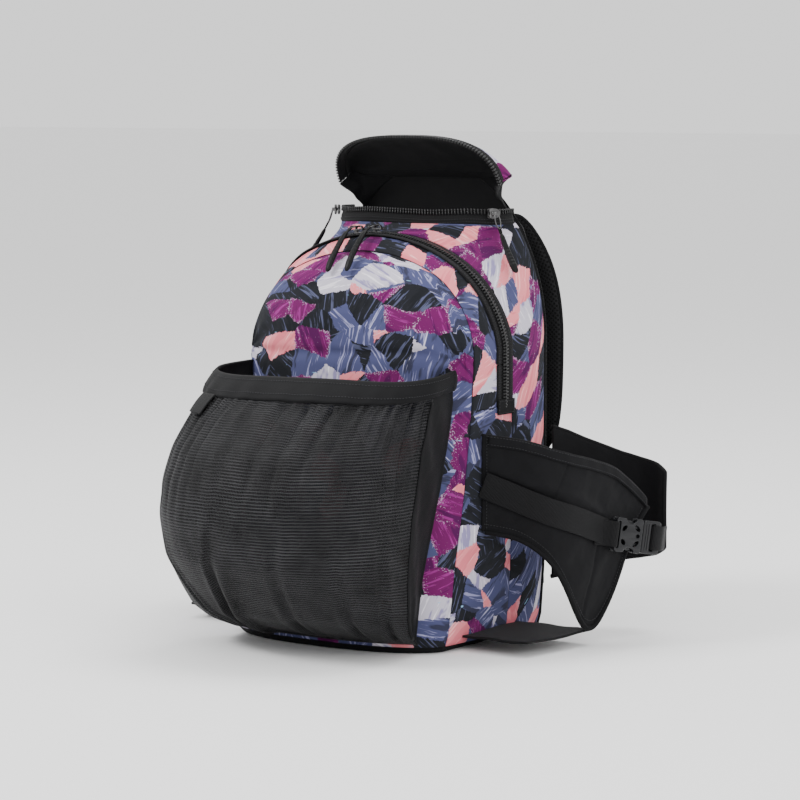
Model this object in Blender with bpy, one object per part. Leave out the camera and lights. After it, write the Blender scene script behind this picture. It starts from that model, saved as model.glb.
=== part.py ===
# Ski boot bag: backpack body with an open top lid, a fold-down front flap, a stretch helmet net
# and two side wings that wrap a pair of boots. Front faces -Y, +Z is up, base underside at z = 0.
import math

import bmesh
import bpy
import numpy as np

MM = 0.001
LIFT = 12.0            # pattern heights are measured from the boot soles, 12 mm above the base underside
FOOT = -5.8            # lower edge of the body panels
GAP = 0.5              # sewing gap kept between neighbouring pieces (mm)
BODY_W = 130.0         # half width of the body
CROWN_R = 180.0        # radius of the zip arch over the crown
CROWN_DEG = 25.0       # half angle of that arc
ZIP_CROWN = 372.0      # top of the front zip arch
SEAM_CROWN = 355.0     # top of the front panel seam
FLAP_Z = 252.0         # fold line of the front flap
BACK_Y = 108.0         # rear edge of the side panels
RIM_Z = 382.0          # top of the printed body under the main zip
RIM_W = 96.0           # half width of the main opening
RIM_D = 56.0           # front to back size of the main opening
LID_AXIS = (112.0, 428.0)   # y, z of the lid hinge
LID_OPEN = 61.0        # degrees the lid stands open at rest
ZIP_END = 212.0        # lower ends of the front zip
PANEL_ROWS = (FOOT, 6, 26, 60, 95, 130, 165, 190, ZIP_END - 1.4, ZIP_END - 0.6, 230, FLAP_Z - GAP)
NET_ROWS = (-2.5, 1, 6, 14, 28, 50, 80, 115, 150, 185, 208, 226.5)
WEB = 25.0             # webbing width
SHOULDER_N = 5
CROWN_N = 12
STRAIGHT_N = 6


# ---------------------------------------------------------------- small helpers
def clear_scene():
    for ob in list(bpy.data.objects):
        bpy.data.objects.remove(ob, do_unlink=True)


def material(name, color, rough, metal=0.0):
    mat = bpy.data.materials.new(name)
    mat.use_nodes = True
    bsdf = mat.node_tree.nodes["Principled BSDF"]
    bsdf.inputs["Base Color"].default_value = (*color, 1.0)
    bsdf.inputs["Roughness"].default_value = rough
    bsdf.inputs["Metallic"].default_value = metal
    mat.diffuse_color = (*color, 1.0)
    return mat


def make_object(name, verts, faces, mat, smooth=True):
    mesh = bpy.data.meshes.new(name)
    mesh.from_pydata([(float(v[0]) * MM, float(v[1]) * MM, (float(v[2]) + LIFT) * MM) for v in verts], [], faces)
    bm = bmesh.new()
    bm.from_mesh(mesh)
    bmesh.ops.recalc_face_normals(bm, faces=bm.faces)
    bm.to_mesh(mesh)
    bm.free()
    for poly in mesh.polygons:
        poly.use_smooth = smooth
    mesh.materials.append(mat)
    ob = bpy.data.objects.new(name, mesh)
    bpy.context.scene.collection.objects.link(ob)
    return ob


def normals(grid):
    du = np.gradient(grid, axis=0)
    dv = np.gradient(grid, axis=1)
    n = np.cross(du, dv)
    length = np.linalg.norm(n, axis=2, keepdims=True)
    return n / np.maximum(length, 1e-9)


def slab(name, grid, thick, mat, toward):
    """Closed sheet: grid is the outer face, thick mm are added toward the given point."""
    grid = np.asarray(grid, float)
    return sheet_between(name, grid, inner_grid(grid, thick, toward), mat)


def inner_grid(grid, thick, toward):
    n = normals(grid)
    if np.sum((np.asarray(toward, float) - grid) * n) < 0:
        n = -n
    return grid + n * thick


def sheet_between(name, grid, inner, mat):
    """Closed sheet between two grids of the same shape."""
    nu, nv = grid.shape[:2]
    verts = list(grid.reshape(-1, 3)) + list(inner.reshape(-1, 3))
    off = nu * nv
    faces = []
    for i in range(nu - 1):
        for j in range(nv - 1):
            a = i * nv + j
            faces.append((a, a + nv, a + nv + 1, a + 1))
            faces.append((a + off, a + 1 + off, a + nv + 1 + off, a + nv + off))
    for i in range(nu - 1):
        a = i * nv
        faces.append((a, a + off, a + nv + off, a + nv))
        b = i * nv + nv - 1
        faces.append((b, b + nv, b + nv + off, b + off))
    for j in range(nv - 1):
        faces.append((j, j + 1, j + 1 + off, j + off))
        b = (nu - 1) * nv + j
        faces.append((b, b + off, b + 1 + off, b + 1))
    return make_object(name, verts, faces, mat)


def loft(name, rings, mat, smooth=True):
    """Closed solid through a list of equal rings of points."""
    rings = [np.asarray(r, float) for r in rings]
    k = len(rings[0])
    verts = [p for r in rings for p in r]
    faces = []
    for i in range(len(rings) - 1):
        for j in range(k):
            a = i * k + j
            b = i * k + (j + 1) % k
            faces.append((a, b, b + k, a + k))
    faces.append(tuple(range(k)))
    last = (len(rings) - 1) * k
    faces.append(tuple(last + j for j in reversed(range(k))))
    return make_object(name, verts, faces, mat, smooth)


def unit(v):
    v = np.asarray(v, float)
    return v / max(np.linalg.norm(v), 1e-9)


def band(name, path, side, half_w, half_t, mat, chamfer=0.0, smooth=True):
    """Flat strap along a path; side gives the width direction at each point."""
    path = np.asarray(path, float)
    tang = np.gradient(path, axis=0)
    rings = []
    for i, p in enumerate(path):
        s = unit(np.asarray(side[i] if np.ndim(side) == 2 else side, float))
        t = unit(tang[i])
        s = unit(s - t * np.dot(s, t))
        n = np.cross(t, s)
        hw = half_w[i] if np.ndim(half_w) else half_w
        ht = half_t[i] if np.ndim(half_t) else half_t
        c = min(chamfer, ht * 0.9)
        if c > 0:
            corner = [(hw - c, ht), (hw, ht - c), (hw, -ht + c), (hw - c, -ht),
                      (-hw + c, -ht), (-hw, -ht + c), (-hw, ht - c), (-hw + c, ht)]
        else:
            corner = [(hw, ht), (hw, -ht), (-hw, -ht), (-hw, ht)]
        rings.append([p + s * a + n * b for a, b in corner])
    return loft(name, rings, mat, smooth)


def tube(name, path, radius, mat, sides=8):
    path = np.asarray(path, float)
    tang = np.gradient(path, axis=0)
    ref = np.array([1.0, 0.0, 0.0])
    rings = []
    for i, p in enumerate(path):
        t = unit(tang[i])
        ref = unit(ref - t * np.dot(ref, t)) if np.linalg.norm(np.cross(ref, t)) > 0.05 else np.array([0, 1.0, 0])
        b = np.cross(t, ref)
        rad = radius[i] if np.ndim(radius) else radius
        rings.append([p + rad * (math.cos(q) * ref + math.sin(q) * b)
                      for q in np.linspace(0, 2 * math.pi, sides, endpoint=False)])
    return loft(name, rings, mat)


def prism(name, outline, axis_u, axis_v, axis_w, origin, depth, mat, smooth=False):
    """Extruded outline: points (u, v) in the plane of axis_u/axis_v, depth along axis_w."""
    o = np.asarray(origin, float)
    au, av, aw = (unit(a) for a in (axis_u, axis_v, axis_w))
    low = [o + au * u + av * v for u, v in outline]
    high = [p + aw * depth for p in low]
    return loft(name, [low, high], mat, smooth)


def box(name, centre, size, mat, axes=None):
    axes = axes or ((1, 0, 0), (0, 1, 0), (0, 0, 1))
    hx, hy, hz = (s * 0.5 for s in size)
    au, av, aw = (unit(a) for a in axes)
    o = np.asarray(centre, float) - aw * hz
    return prism(name, [(-hx, -hy), (hx, -hy), (hx, hy), (-hx, hy)], au, av, aw, o, 2 * hz, mat)


def cut(target, cutter):
    mod = target.modifiers.new("cut_" + cutter.name, "BOOLEAN")
    mod.operation = "DIFFERENCE"
    mod.solver = "EXACT"
    mod.object = cutter
    cutter.hide_render = True
    cutter.display_type = "WIRE"


def apply_all(ob):
    deps = bpy.context.evaluated_depsgraph_get()
    mesh = bpy.data.meshes.new_from_object(ob.evaluated_get(deps))
    ob.modifiers.clear()
    ob.data = mesh


def cut_now(target, cutters):
    for c in cutters:
        cut(target, c)
    bpy.context.view_layer.update()
    apply_all(target)
    for c in cutters:
        bpy.data.objects.remove(c, do_unlink=True)


def join_now(target, others):
    for o in others:
        mod = target.modifiers.new("join_" + o.name, "BOOLEAN")
        mod.operation = "UNION"
        mod.solver = "EXACT"
        mod.object = o
    bpy.context.view_layer.update()
    apply_all(target)
    for o in others:
        bpy.data.objects.remove(o, do_unlink=True)


# ---------------------------------------------------------------- shared shapes
def taper(z):
    return np.interp(z, [-12, 4, 50, 110], [0.93, 0.965, 0.99, 1.0])


def arch(w, crown, z0):
    """Arch in x, z from the left foot over the crown to the right foot, with its region index."""
    a = math.radians(CROWN_DEG)
    r2 = (w - CROWN_R * math.sin(a)) / (1 - math.sin(a))
    c1 = crown - CROWN_R
    cx = w - r2
    cz = c1 + (CROWN_R - r2) * math.cos(a)
    half = []
    for k in range(CROWN_N // 2 + 1):
        q = a * k / (CROWN_N // 2)
        half.append((CROWN_R * math.sin(q), c1 + CROWN_R * math.cos(q)))
    for k in range(1, SHOULDER_N + 1):
        q = a + (math.pi / 2 - a) * k / SHOULDER_N
        half.append((cx + r2 * math.sin(q), cz + r2 * math.cos(q)))
    for k in range(1, STRAIGHT_N + 1):
        z = cz + (z0 - cz) * k / STRAIGHT_N
        half.append((w * float(taper(z)), z))
    half = np.array(half)
    left = half[::-1].copy()
    left[:, 0] *= -1
    return np.vstack([left[:-1], half])


def arch_width(z, w, crown):
    """Half width of the arch at height z."""
    a = math.radians(CROWN_DEG)
    r2 = (w - CROWN_R * math.sin(a)) / (1 - math.sin(a))
    c1 = crown - CROWN_R
    cx = w - r2
    cz = c1 + (CROWN_R - r2) * math.cos(a)
    if z <= cz:
        return w * float(taper(z))
    zq = cz + r2 * math.cos(a)
    if z < zq:
        return cx + math.sqrt(max(r2 * r2 - (z - cz) ** 2, 0))
    return math.sqrt(max(CROWN_R ** 2 - (z - c1) ** 2, 0))


def y_seam(z):
    return np.interp(z, [-12, 60, 130, 200, 260, 320, 355], [-50, -45, -31, -19, -14, -12, -10])


def y_zip(z, base):
    return base + 20.0 * np.clip((352.0 - z) / 82.0, 0, 1)


def front_bulge(x, z, w):
    """How far the front panel swells forward of its seam."""
    rise = np.interp(z, [0, 40, 150, 252, 300, 330, 345, 355], [42, 44, 40, 36, 32, 24, 13, 0])
    f = max(0.0, 1.0 - abs(x / max(w, 1e-6)) ** 2.6)
    return rise * f ** 0.62


def front_y(x, z, w):
    return float(y_seam(z)) - front_bulge(x, z, w)


def back_width(z):
    if z <= 270:
        return (BODY_W - 1) * float(taper(z))
    q = min((z - 270.0) / 170.0, 1.0)
    return (BODY_W - 1) * math.sqrt(1 - q ** 2)


def rim_point(q, w, d, y_back, z, lean=0.0):
    """Point on the U-shaped opening; q runs 0 (left rear) to 1 (right rear)."""
    ang = math.pi * (1 - q)
    c, s = math.cos(ang), math.sin(ang)
    e = 2 / 2.8
    x = w * math.copysign(abs(c) ** e, c)
    y = y_back - d * abs(s) ** e
    return np.array([x * (1 - lean), y + lean * 60, z])


def turn_x(p, deg, axis):
    """Rotate about an X-parallel axis (y, z); positive lifts points lying in front of it."""
    a = math.radians(deg)
    y, z = p[1] - axis[0], p[2] - axis[1]
    return np.array([p[0], axis[0] + y * math.cos(a) + z * math.sin(a),
                     axis[1] - y * math.sin(a) + z * math.cos(a)])


# ---------------------------------------------------------------- body
def base(m):
    n = 16
    rings = []
    xs = np.cos(np.linspace(math.pi, 0, n + 1))
    w = arch_width(FOOT, BODY_W - 3, SEAM_CROWN)
    low, high = [], []
    for x in xs:
        y = front_y(x * w * 0.999, FOOT, w)
        low.append((x * w * 0.97, y + 4, -LIFT))
        high.append((x * w, y, FOOT - 0.6))
    for x, y in [(w, 40), (w, 116), (w - 10, 126.5), (-w + 10, 126.5), (-w, 116), (-w, 40)]:
        low.append((x * 0.97, y - 1.5 if y > 100 else y, -LIFT))
        high.append((x, y, FOOT - 0.6))
    rings = [low, high]
    ob = loft("base_panel", rings, m["black"])
    return ob


def base_board(m):
    box("base_board", (0, 82, FOOT + 1.8), (212, 46, 2.4), m["board"])


def front_panel(m):
    zs = PANEL_ROWS
    grid = []
    for z in zs:
        w = arch_width(z, BODY_W - 3, SEAM_CROWN)
        grid.append([(x * w, front_y(x * w, z, w), z) for x in np.cos(np.linspace(math.pi, 0, 15))])
    slab("front_panel", grid, 2.6, m["print"], (0, 400, 140))


def front_flap(m):
    zs = [FLAP_Z + GAP, 270, 290, 308, 322, 334, 343, 349.5, 353.6]
    grid = []
    for z in zs:
        w = arch_width(z, BODY_W - 3, SEAM_CROWN)
        grid.append([(x * w, front_y(x * w, z, w), z) for x in np.cos(np.linspace(math.pi, 0, 15))])
    slab("front_flap", grid, 2.6, m["print"], (0, 400, 240))


def strip(w0, c0, y0, w1, c1, y1, z0, rows):
    """Grid between two arches that both start at height z0."""
    a = arch(w0, c0, z0)
    b = arch(w1, c1, z0)
    grid = []
    for (xa, za), (xb, zb) in zip(a, b):
        row = []
        for t in np.linspace(0, 1, rows):
            row.append((xa + (xb - xa) * t, y0(za) + (y1(zb) - y0(za)) * t, za + (zb - za) * t))
        grid.append(row)
    return np.array(grid)


def side_rows(rows, w0, y0, w1, y1, sign, cols):
    grid = []
    for z in rows:
        xa, xb = w0 * float(taper(z)), w1 * float(taper(z))
        row = []
        for t in np.linspace(0, 1, cols):
            row.append((sign * (xa + (xb - xa) * t), y0(z) + (y1(z) - y0(z)) * t, z))
        grid.append(row)
    return np.array(grid)


def gussets(m):
    g = strip(BODY_W - 0.4, SEAM_CROWN + 2.6, lambda z: float(y_seam(z)) + 0.4,
              BODY_W, ZIP_CROWN - 3, lambda z: float(y_zip(z, 4.0)), FLAP_Z + GAP, 4)
    slab("flap_gusset", g, 2.2, m["print"], (0, 10, 200))
    for tag, sign in (("l", -1), ("r", 1)):
        g = side_rows(PANEL_ROWS, BODY_W - 0.4, lambda z: float(y_seam(z)) + 0.4,
                      BODY_W, lambda z: 24.0 if z > ZIP_END - 1 else 49.0, sign, 5)
        slab("front_gusset_" + tag, g, 2.2, m["print"], (0, 10, 140))


def zip_half(name, line, across, out, mat, width, tape_t=1.3, bead=4.2, height=2.3):
    """Zip half: the coil bead stands on the edge (line), the tape runs back from it by width."""
    rings = []
    for p, v, n in zip(line, across, out):
        v, n = unit(v), unit(n)
        prof = [(0, -0.8), (0, height), (-bead, height), (-bead - 0.6, tape_t * 0.5), (-width, tape_t * 0.5),
                (-width, -0.8)]
        rings.append([p + v * a + n * b for a, b in prof])
    return loft(name, rings, mat, False)


def arch_frames(w, crown, base_y, z0):
    pts = arch(w, crown, z0)
    line = np.array([(x, float(y_zip(z, base_y)), z) for x, z in pts])
    t = np.gradient(line, axis=0)
    across = []
    out = []
    for i in range(len(line)):
        tt = unit(t[i])
        v = unit(np.array([0, 1.0, 0]) - tt * tt[1])
        n = np.cross(v, tt)
        if n[2] < -0.2 or n[0] * line[i][0] < -1e-6 and abs(line[i][0]) > 60:
            n = -n
        across.append(v)
        out.append(n)
    return line, np.array(across), np.array(out)


def front_zip(m):
    line, v, n = arch_frames(BODY_W + 0.5, ZIP_CROWN, 16.0, FLAP_Z + GAP)
    front = line - np.array([0, 0.35, 0])
    zip_half("front_zip_flap_side", front, v, n, m["zip"], 10.5)
    low = ZIP_END
    line, v, n = arch_frames(BODY_W + 0.5, ZIP_CROWN, 16.0, low)
    rear = line + np.array([0, 0.35, 0])
    zip_half("front_zip_body_side", rear, -v, n, m["zip"], 12.5)
    for tag, sign in (("l", -1), ("r", 1)):
        zs = np.linspace(low, FLAP_Z - GAP, 5)
        line = np.array([((BODY_W + 0.5) * sign, float(y_zip(z, 16.0)) - 0.35, z) for z in zs])
        v = np.array([(0, 1.0, 0)] * 5)
        n = np.array([(sign, 0, 0)] * 5)
        zip_half("front_zip_foot_" + tag, line, v, n, m["zip"], 10.5)


def side_panels(m):
    zi = FOOT
    a = arch(BODY_W + 0.3, ZIP_CROWN + 2.0, zi)
    n = len(a)
    half_a = [(x, float(y_zip(z, 29.6)), z) for x, z in a[n // 2:]]
    crown = half_a[:CROWN_N // 2 + 1]
    rest = half_a[CROWN_N // 2:]
    k_sh = SHOULDER_N
    b_rest = []
    za = [p[2] for p in rest]
    for i, p in enumerate(rest):
        if i <= k_sh:
            z = RIM_Z + (za[k_sh] - RIM_Z) * (i / k_sh) ** 1.1
        else:
            z = p[2]
        xb = back_width(z) if i <= k_sh else (BODY_W - 1) * float(taper(z))
        b_rest.append((xb, BACK_Y, z))
    b_rest[0] = (RIM_W + 1.5, BACK_Y, RIM_Z)
    for tag, sign in (("l", -1), ("r", 1)):
        grid = []
        for pa, pb in zip(rest, b_rest):
            pa, pb = np.array(pa), np.array(pb)
            row = []
            for t in np.linspace(0, 1, 5):
                q = pa + (pb - pa) * t
                swell = 4.0 * math.sin(math.pi * t)
                q = q + np.array([swell * 0.8, 0, 0])
                row.append(q * np.array([sign, 1, 1]))
            grid.append(row)
        slab("side_panel_" + tag, grid, 2.2, m["print"], (0, 80, 180))
    grid = []
    crown = crown[::-1]
    left = [(-x, y, z) for x, y, z in crown]
    full = left + [(x, y, z) for x, y, z in crown[::-1][1:]]
    k = len(full)
    for i, pa in enumerate(full):
        q = i / (k - 1)
        pb = rim_point(q, RIM_W, RIM_D, BACK_Y, RIM_Z)
        pa = np.array(pa) + np.array([0, 0, 0])
        if i == 0:
            pa = pa + np.array([0.9, 0, 0.3])
            pb = pb + np.array([0.9, 0, 0.3])
        if i == k - 1:
            pa = pa + np.array([-0.9, 0, 0.3])
            pb = pb + np.array([-0.9, 0, 0.3])
        row = []
        for t in np.linspace(0, 1, 5):
            p = pa + (pb - pa) * t
            lift = 3.0 * math.sin(math.pi * t) * math.sin(math.pi * q)
            row.append(p + np.array([0, 0, lift]))
        grid.append(row)
    slab("top_panel", grid, 2.2, m["print"], (0, 80, 200))


def main_zip(m):
    n = 33
    line, across, out = [], [], []
    for i in range(n):
        q = 0.004 + 0.992 * i / (n - 1)
        low = rim_point(q, RIM_W - 0.4, RIM_D - 0.4, BACK_Y - 0.6, RIM_Z + 1.7)
        top = rim_point(q, RIM_W - 3.2, RIM_D - 3.2, BACK_Y - 0.6, RIM_Z + 13.4)
        line.append(top)
        across.append(unit(top - low))
    line = np.array(line)
    t = np.gradient(line, axis=0)
    for i in range(n):
        o = np.cross(across[i], unit(t[i]))
        ref = line[i] - np.array([0, BACK_Y, RIM_Z + 13.4])
        if np.dot(o, ref) < 0:
            o = -o
        out.append(o)
    zip_half("main_zip_body_side", line, across, out, m["zip"], 12.6)


def lid_surface(q, r, w, d, top_half, z_low, z_high, y_back):
    low = rim_point(q, w, d, y_back, z_low)
    top = np.array([(2 * q - 1) * top_half, y_back + 1.5, z_high])
    a = math.radians(90 * r)
    h = 1 - math.cos(a)
    p = low + (top - low) * h
    p[2] = z_low + (z_high - z_low) * math.sin(a) - 7.0 * abs(2 * q - 1) ** 5 * h
    return p


def lid(m):
    w, d = RIM_W - 3.2, RIM_D - 3.2
    z_low, z_high = RIM_Z + 14.4, LID_AXIS[1] - 0.5
    yb = BACK_Y - 0.6
    nq, nr = 25, 8
    grid = []
    for i in range(nq):
        q = i / (nq - 1)
        row = []
        for j in range(nr):
            r = 0.25 + 0.75 * j / (nr - 1)
            p = lid_surface(q, r, w, d, 82.0, z_low, z_high, yb)
            row.append(turn_x(p, LID_OPEN, LID_AXIS))
        grid.append(row)
    centre = turn_x(np.array([0, yb - 20, z_low]), LID_OPEN, LID_AXIS)
    slab("lid", grid, 2.4, m["print"], centre)
    line, across, out = [], [], []
    n = 33
    for i in range(n):
        q = 0.004 + 0.992 * i / (n - 1)
        low = lid_surface(q, 0.0, w, d, 82.0, z_low, z_high, yb)
        up = lid_surface(q, 0.235, w, d, 82.0, z_low, z_high, yb)
        line.append(turn_x(low, LID_OPEN, LID_AXIS))
        across.append(turn_x(low, LID_OPEN, LID_AXIS) - turn_x(up, LID_OPEN, LID_AXIS))
    line = np.array(line)
    t = np.gradient(line, axis=0)
    for i in range(n):
        o = np.cross(unit(across[i]), unit(t[i]))
        if np.dot(o, line[i] - centre) < 0:
            o = -o
        out.append(o)
    zip_half("main_zip_lid_side", line, across, out, m["zip"], 10.9)


def divider(m):
    zs = [FOOT + 0.6, 40, 120, 200, 270, 310, 335, 352, 362, 368]
    grid = []
    for z in zs:
        w = arch_width(z, BODY_W - 7, 369)
        grid.append([(x * w, 51.5, z) for x in np.linspace(-1, 1, 5)])
    slab("divider_panel", grid, 1.6, m["lining"], (0, 400, 200))


def back(m):
    zs = [FOOT, 12, 60, 130, 200, 270, 305, 335, 360, 385, 403, 415, 426.5]
    grid = []
    for z in zs:
        w = back_width(z)
        grid.append([(x * w, 112.6, z) for x in np.linspace(-1, 1, 7)])
    slab("back_panel", grid, 14.4, m["back"], (0, 400, 200))
    for tag, sign in (("l", -1), ("r", 1)):
        path = [(sign * (back_width(z) - 1.0), 110.3, z)
                for z in [FOOT + 1, 12, 60, 130, 200, 270, 305, 335, 360, 378]]
        tube("back_piping_" + tag, path, 1.75, m["black"], 6)


def haul_handle(m):
    path = []
    for q in np.linspace(0, 1, 13):
        a = math.pi * q
        path.append((-32 * math.copysign(abs(math.cos(a)) ** 0.7, math.cos(a)), 133.4, 392 + 40 * math.sin(a) ** 0.8))
    band("haul_handle", path, (0, 1, 0), 5.0, 1.3, m["web"])


def shoulder(m):
    """Padded straps, their lower webbing and the ladder locks that adjust them."""
    for tag, sign in (("l", -1), ("r", 1)):
        pts = np.array([(50, 131.3, 386), (50.5, 138.4, 385.5), (57, 149, 376), (71, 156, 350), (82, 158.5, 320),
                        (88, 158.5, 285), (90, 157, 245), (92, 153.5, 205), (94, 149, 174), (95, 146.5, 160)], float)
        hw = [24, 25, 27, 29, 30, 30, 29, 28, 24, 14]
        ht = [2.0, 3.5, 5.0, 6, 6, 6, 6, 5.6, 4.5, 2.2]
        band("shoulder_strap_" + tag, mirror(pts, sign), (1, 0, 0), hw, ht, m["back"], chamfer=1.6)
        o = np.array([95.7, 143.2, 148.0])
        down = unit((0.07, -0.17, -0.98))
        across = unit(np.array([1.0, 0, 0]) - down * down[0])
        out = np.cross(across, down)
        out = out if out[1] > 0 else -out
        body = plate("ladder_lock_" + tag, rect(-9, 9, -14, 14, 2), 0.0, 3.2, (o, down, across, out), sign, m["plastic"])
        cuts = [plate("k1", rect(-2.0, 2.2, -11.2, 11.2), -2, 6, (o, down, across, out), sign, m["plastic"]),
                plate("k2", rect(5.0, 7.2, -11.2, 11.2), -2, 6, (o, down, across, out), sign, m["plastic"])]
        cut_now(body, cuts)
        local = [(30, 5.2), (20, 5.4), (8, 5.2), (2.6, 4.9), (0.3, 3.4), (0.1, 1.6), (0.3, -0.2), (2.6, -1.6),
                 (8, -1.8), (20, -1.6)]
        web = [o + down * a + out * c for a, c in local]
        web += [np.array(p) for p in [(99.5, 137.0, 105), (104, 132.3, 65), (106.5, 130.2, 44), (107, 129.8, 30)]]
        band("strap_webbing_" + tag, mirror(web, sign), (1, 0, 0), 10, 0.75, m["web"])


# ---------------------------------------------------------------- zip sliders and pulls
def slider(name, pos, along, out, m):
    """Slider body with a raised bridge; along = zip direction, out = away from the bag."""
    along, out = unit(along), unit(out)
    side = np.cross(out, along)
    o = np.asarray(pos, float)
    prof = [(-5.5, 0), (5.5, 0), (5.5, 1.6), (3.2, 1.6), (3.2, 4.6), (-3.2, 4.6), (-3.2, 1.6), (-5.5, 1.6)]
    ob = prism(name, prof, along, out, side, o - side * 4.2, 8.4, m["gun"])
    hole = prism(name + "_hole", [(-1.9, 1.7), (1.9, 1.7), (1.9, 3.4), (-1.9, 3.4)], along, out, side,
                 o - side * 6, 12, m["gun"])
    cut_now(ob, [hole])
    return ob


def pull(name, path, m):
    """Rubber-dipped cord pull with a flat metal eye at the top."""
    path = np.asarray(path, float)
    band(name, path, (1, 0, 0), [1.6, 2.6, 2.4, 1.7, 2.6, 3.0, 3.0, 2.2], [0.7, 0.7, 0.8, 1.3, 1.9, 2.0, 2.0, 1.5],
         m["rubber"], chamfer=0.5)


def sliders(m):
    y = 16.0
    for tag, deg in (("a", -7.2), ("b", -0.4)):
        a = math.radians(deg)
        rad = CROWN_R + 2.9
        c = (0, y, ZIP_CROWN - CROWN_R)
        out = np.array([math.sin(a), 0, math.cos(a)])
        p = np.array(c) + out * rad
        slider("front_slider_" + tag, p, (math.cos(a), 0, -math.sin(a)), out, m)
        s = p + out * 6.0
        offs = [(0, 0.1, 0), (0, -5, 0.4), (0, -11, -0.2), (0, -17, -3.2), (0, -24, -8.5), (0, -34, -18.5),
                (0, -44, -31), (0, -50, -41)]
        path = [s + np.array(k) for k in offs]
        pull("front_pull_" + tag, path, m)
    for tag, sign in (("l", -1), ("r", 1)):
        q = 0.5 + sign * 0.36
        p = rim_point(q, RIM_W - 0.8, RIM_D - 0.8, BACK_Y - 0.6, RIM_Z + 10)
        q2 = 0.5 + sign * 0.40
        tang = unit(rim_point(q2, RIM_W - 0.8, RIM_D - 0.8, BACK_Y - 0.6, RIM_Z + 10) - p)
        out = np.array([tang[1], -tang[0], 0]) * sign
        slider("main_slider_" + tag, p + out * 3.6, tang, out, m)
        s = p + out * 9.7
        drop = unit(np.array([0.85 * sign, -0.3, 0]))
        offs = [(0.1, 0.1), (1.4, -5), (3.0, -11), (6.0, -18), (10.5, -27), (17, -38), (24, -48), (29, -55)]
        path = [s + drop * a + np.array([0, 0, b]) for a, b in offs]
        band("main_pull_" + tag, path, tang, [1.6, 2.6, 2.4, 1.7, 2.6, 3.0, 3.0, 2.2],
             [0.7, 0.7, 0.8, 1.3, 1.9, 2.0, 2.0, 1.5], m["rubber"], chamfer=0.5)


# ---------------------------------------------------------------- helmet net
def net_depth(z):
    return float(np.interp(z, [-3, 3, 12, 26, 50, 80, 120, 150, 180, 210, 240, 252],
                           [1, 34, 66, 96, 122, 154, 176, 178, 171, 146, 108, 94]))


def net_half(z):
    return float(np.interp(z, [-3, 12, 30, 50, 80, 150, 200, 240, 252], [112, 119, 126, 130, 134, 136, 132, 126, 124]))


def net_point(u, z, extra=0.0):
    """u in -1..1 across the net; sewn edges sit 1 mm off the front panel."""
    a = u * math.pi / 2
    e = 2 / 2.7
    half = net_half(z) + extra
    edge_x = float(np.interp(z, [-3, 60, 150, 252], [104, 109, 115, 119]))
    w = arch_width(z, BODY_W - 3, SEAM_CROWN)
    edge_y = front_y(edge_x, z, w) - 3.4
    s = abs(math.sin(a)) ** e
    c = abs(math.cos(a)) ** e
    blend = abs(u) ** 8
    x = math.copysign(s, u) * (half * (1 - blend) + edge_x * blend)
    centre_y = front_y(0, z, w)
    depth = net_depth(z) + extra
    y = edge_y + (min(centre_y + 40 - edge_y, 0)) * (1 - abs(u) ** 2) - depth * c
    y = min(y, front_y(min(abs(x), w), z, w) - 3.4 - extra)
    return np.array([x, y, z])


def net(m):
    """Stretch net with its denser side gussets, all cut from one bulged surface."""
    mid = list(np.linspace(-0.863, 0.863, 25))
    edge = list(np.linspace(0.873, 1.0, 6))
    us = [-u for u in reversed(edge)] + mid + edge
    grid = np.array([[net_point(u, z) for u in us] for z in NET_ROWS])
    inward = np.array([0, -30.0, 120.0]) - grid
    inner = grid + 1.5 * inward / np.linalg.norm(inward, axis=2, keepdims=True)
    k = len(edge)
    for name, a, b, mat in (("net_gusset_l", 0, k, "stretch"), ("helmet_net", k, k + len(mid), "net"),
                            ("net_gusset_r", k + len(mid), len(us), "stretch")):
        sheet_between(name, grid[:, a:b], inner[:, a:b], m[mat])
    grid = [[net_point(u, z, 0.4) for u in np.linspace(-1, 1, 29)] for z in (227.3, 233, 239, 244.5)]
    slab("net_band", grid, 2.4, m["stretch"], (0, 60, 130))
    grid = [[net_point(u, z, 3.4) for u in np.linspace(-0.42, -0.28, 5)] for z in (212, 219, 226.0)]
    slab("net_tab", grid, 1.6, m["web"], (0, 60, 130))


# ---------------------------------------------------------------- boot wings
WING = np.array([(133.2, -6), (148, 0), (165, 7), (182, 13), (196, 20), (204, 29), (208.5, 42), (211, 56), (213, 70),
                 (215, 84), (216.4, 98), (217.6, 113), (219.5, 130), (222, 146)], float)
WING_LOW = [98, 96, 93, 84, 70, 48, 22, 4, 4, 21, 44, 76, 98, 112]
WING_HIGH = [190, 188, 186, 182, 177, 174, 170, 167, 163, 159, 154, 145, 133, 119]


def wing_at(s, z, off=0.0):
    """Point on the right wing; s is arc length along the plan path from the front seam."""
    seg = np.r_[0, np.cumsum(np.linalg.norm(np.diff(WING, axis=0), axis=1))]
    x = float(np.interp(s, seg, WING[:, 0]))
    y = float(np.interp(s, seg, WING[:, 1]))
    x2 = float(np.interp(s + 4, seg, WING[:, 0]))
    y2 = float(np.interp(s + 4, seg, WING[:, 1]))
    x1 = float(np.interp(s - 4, seg, WING[:, 0]))
    y1 = float(np.interp(s - 4, seg, WING[:, 1]))
    t = unit((x2 - x1, y2 - y1, 0))
    n = np.array([t[1], -t[0], 0])
    f = min(1.0, max(0.0, (s - 8) / 60.0))
    belly = 5.0 * f * math.sin(math.pi * min(max(z / 170.0, 0), 1))
    return np.array([x, y, z]) + n * (off + belly - 3.0 * f)


def mirror(grid, sign):
    return np.asarray(grid) * np.array([sign, 1, 1])


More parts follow.
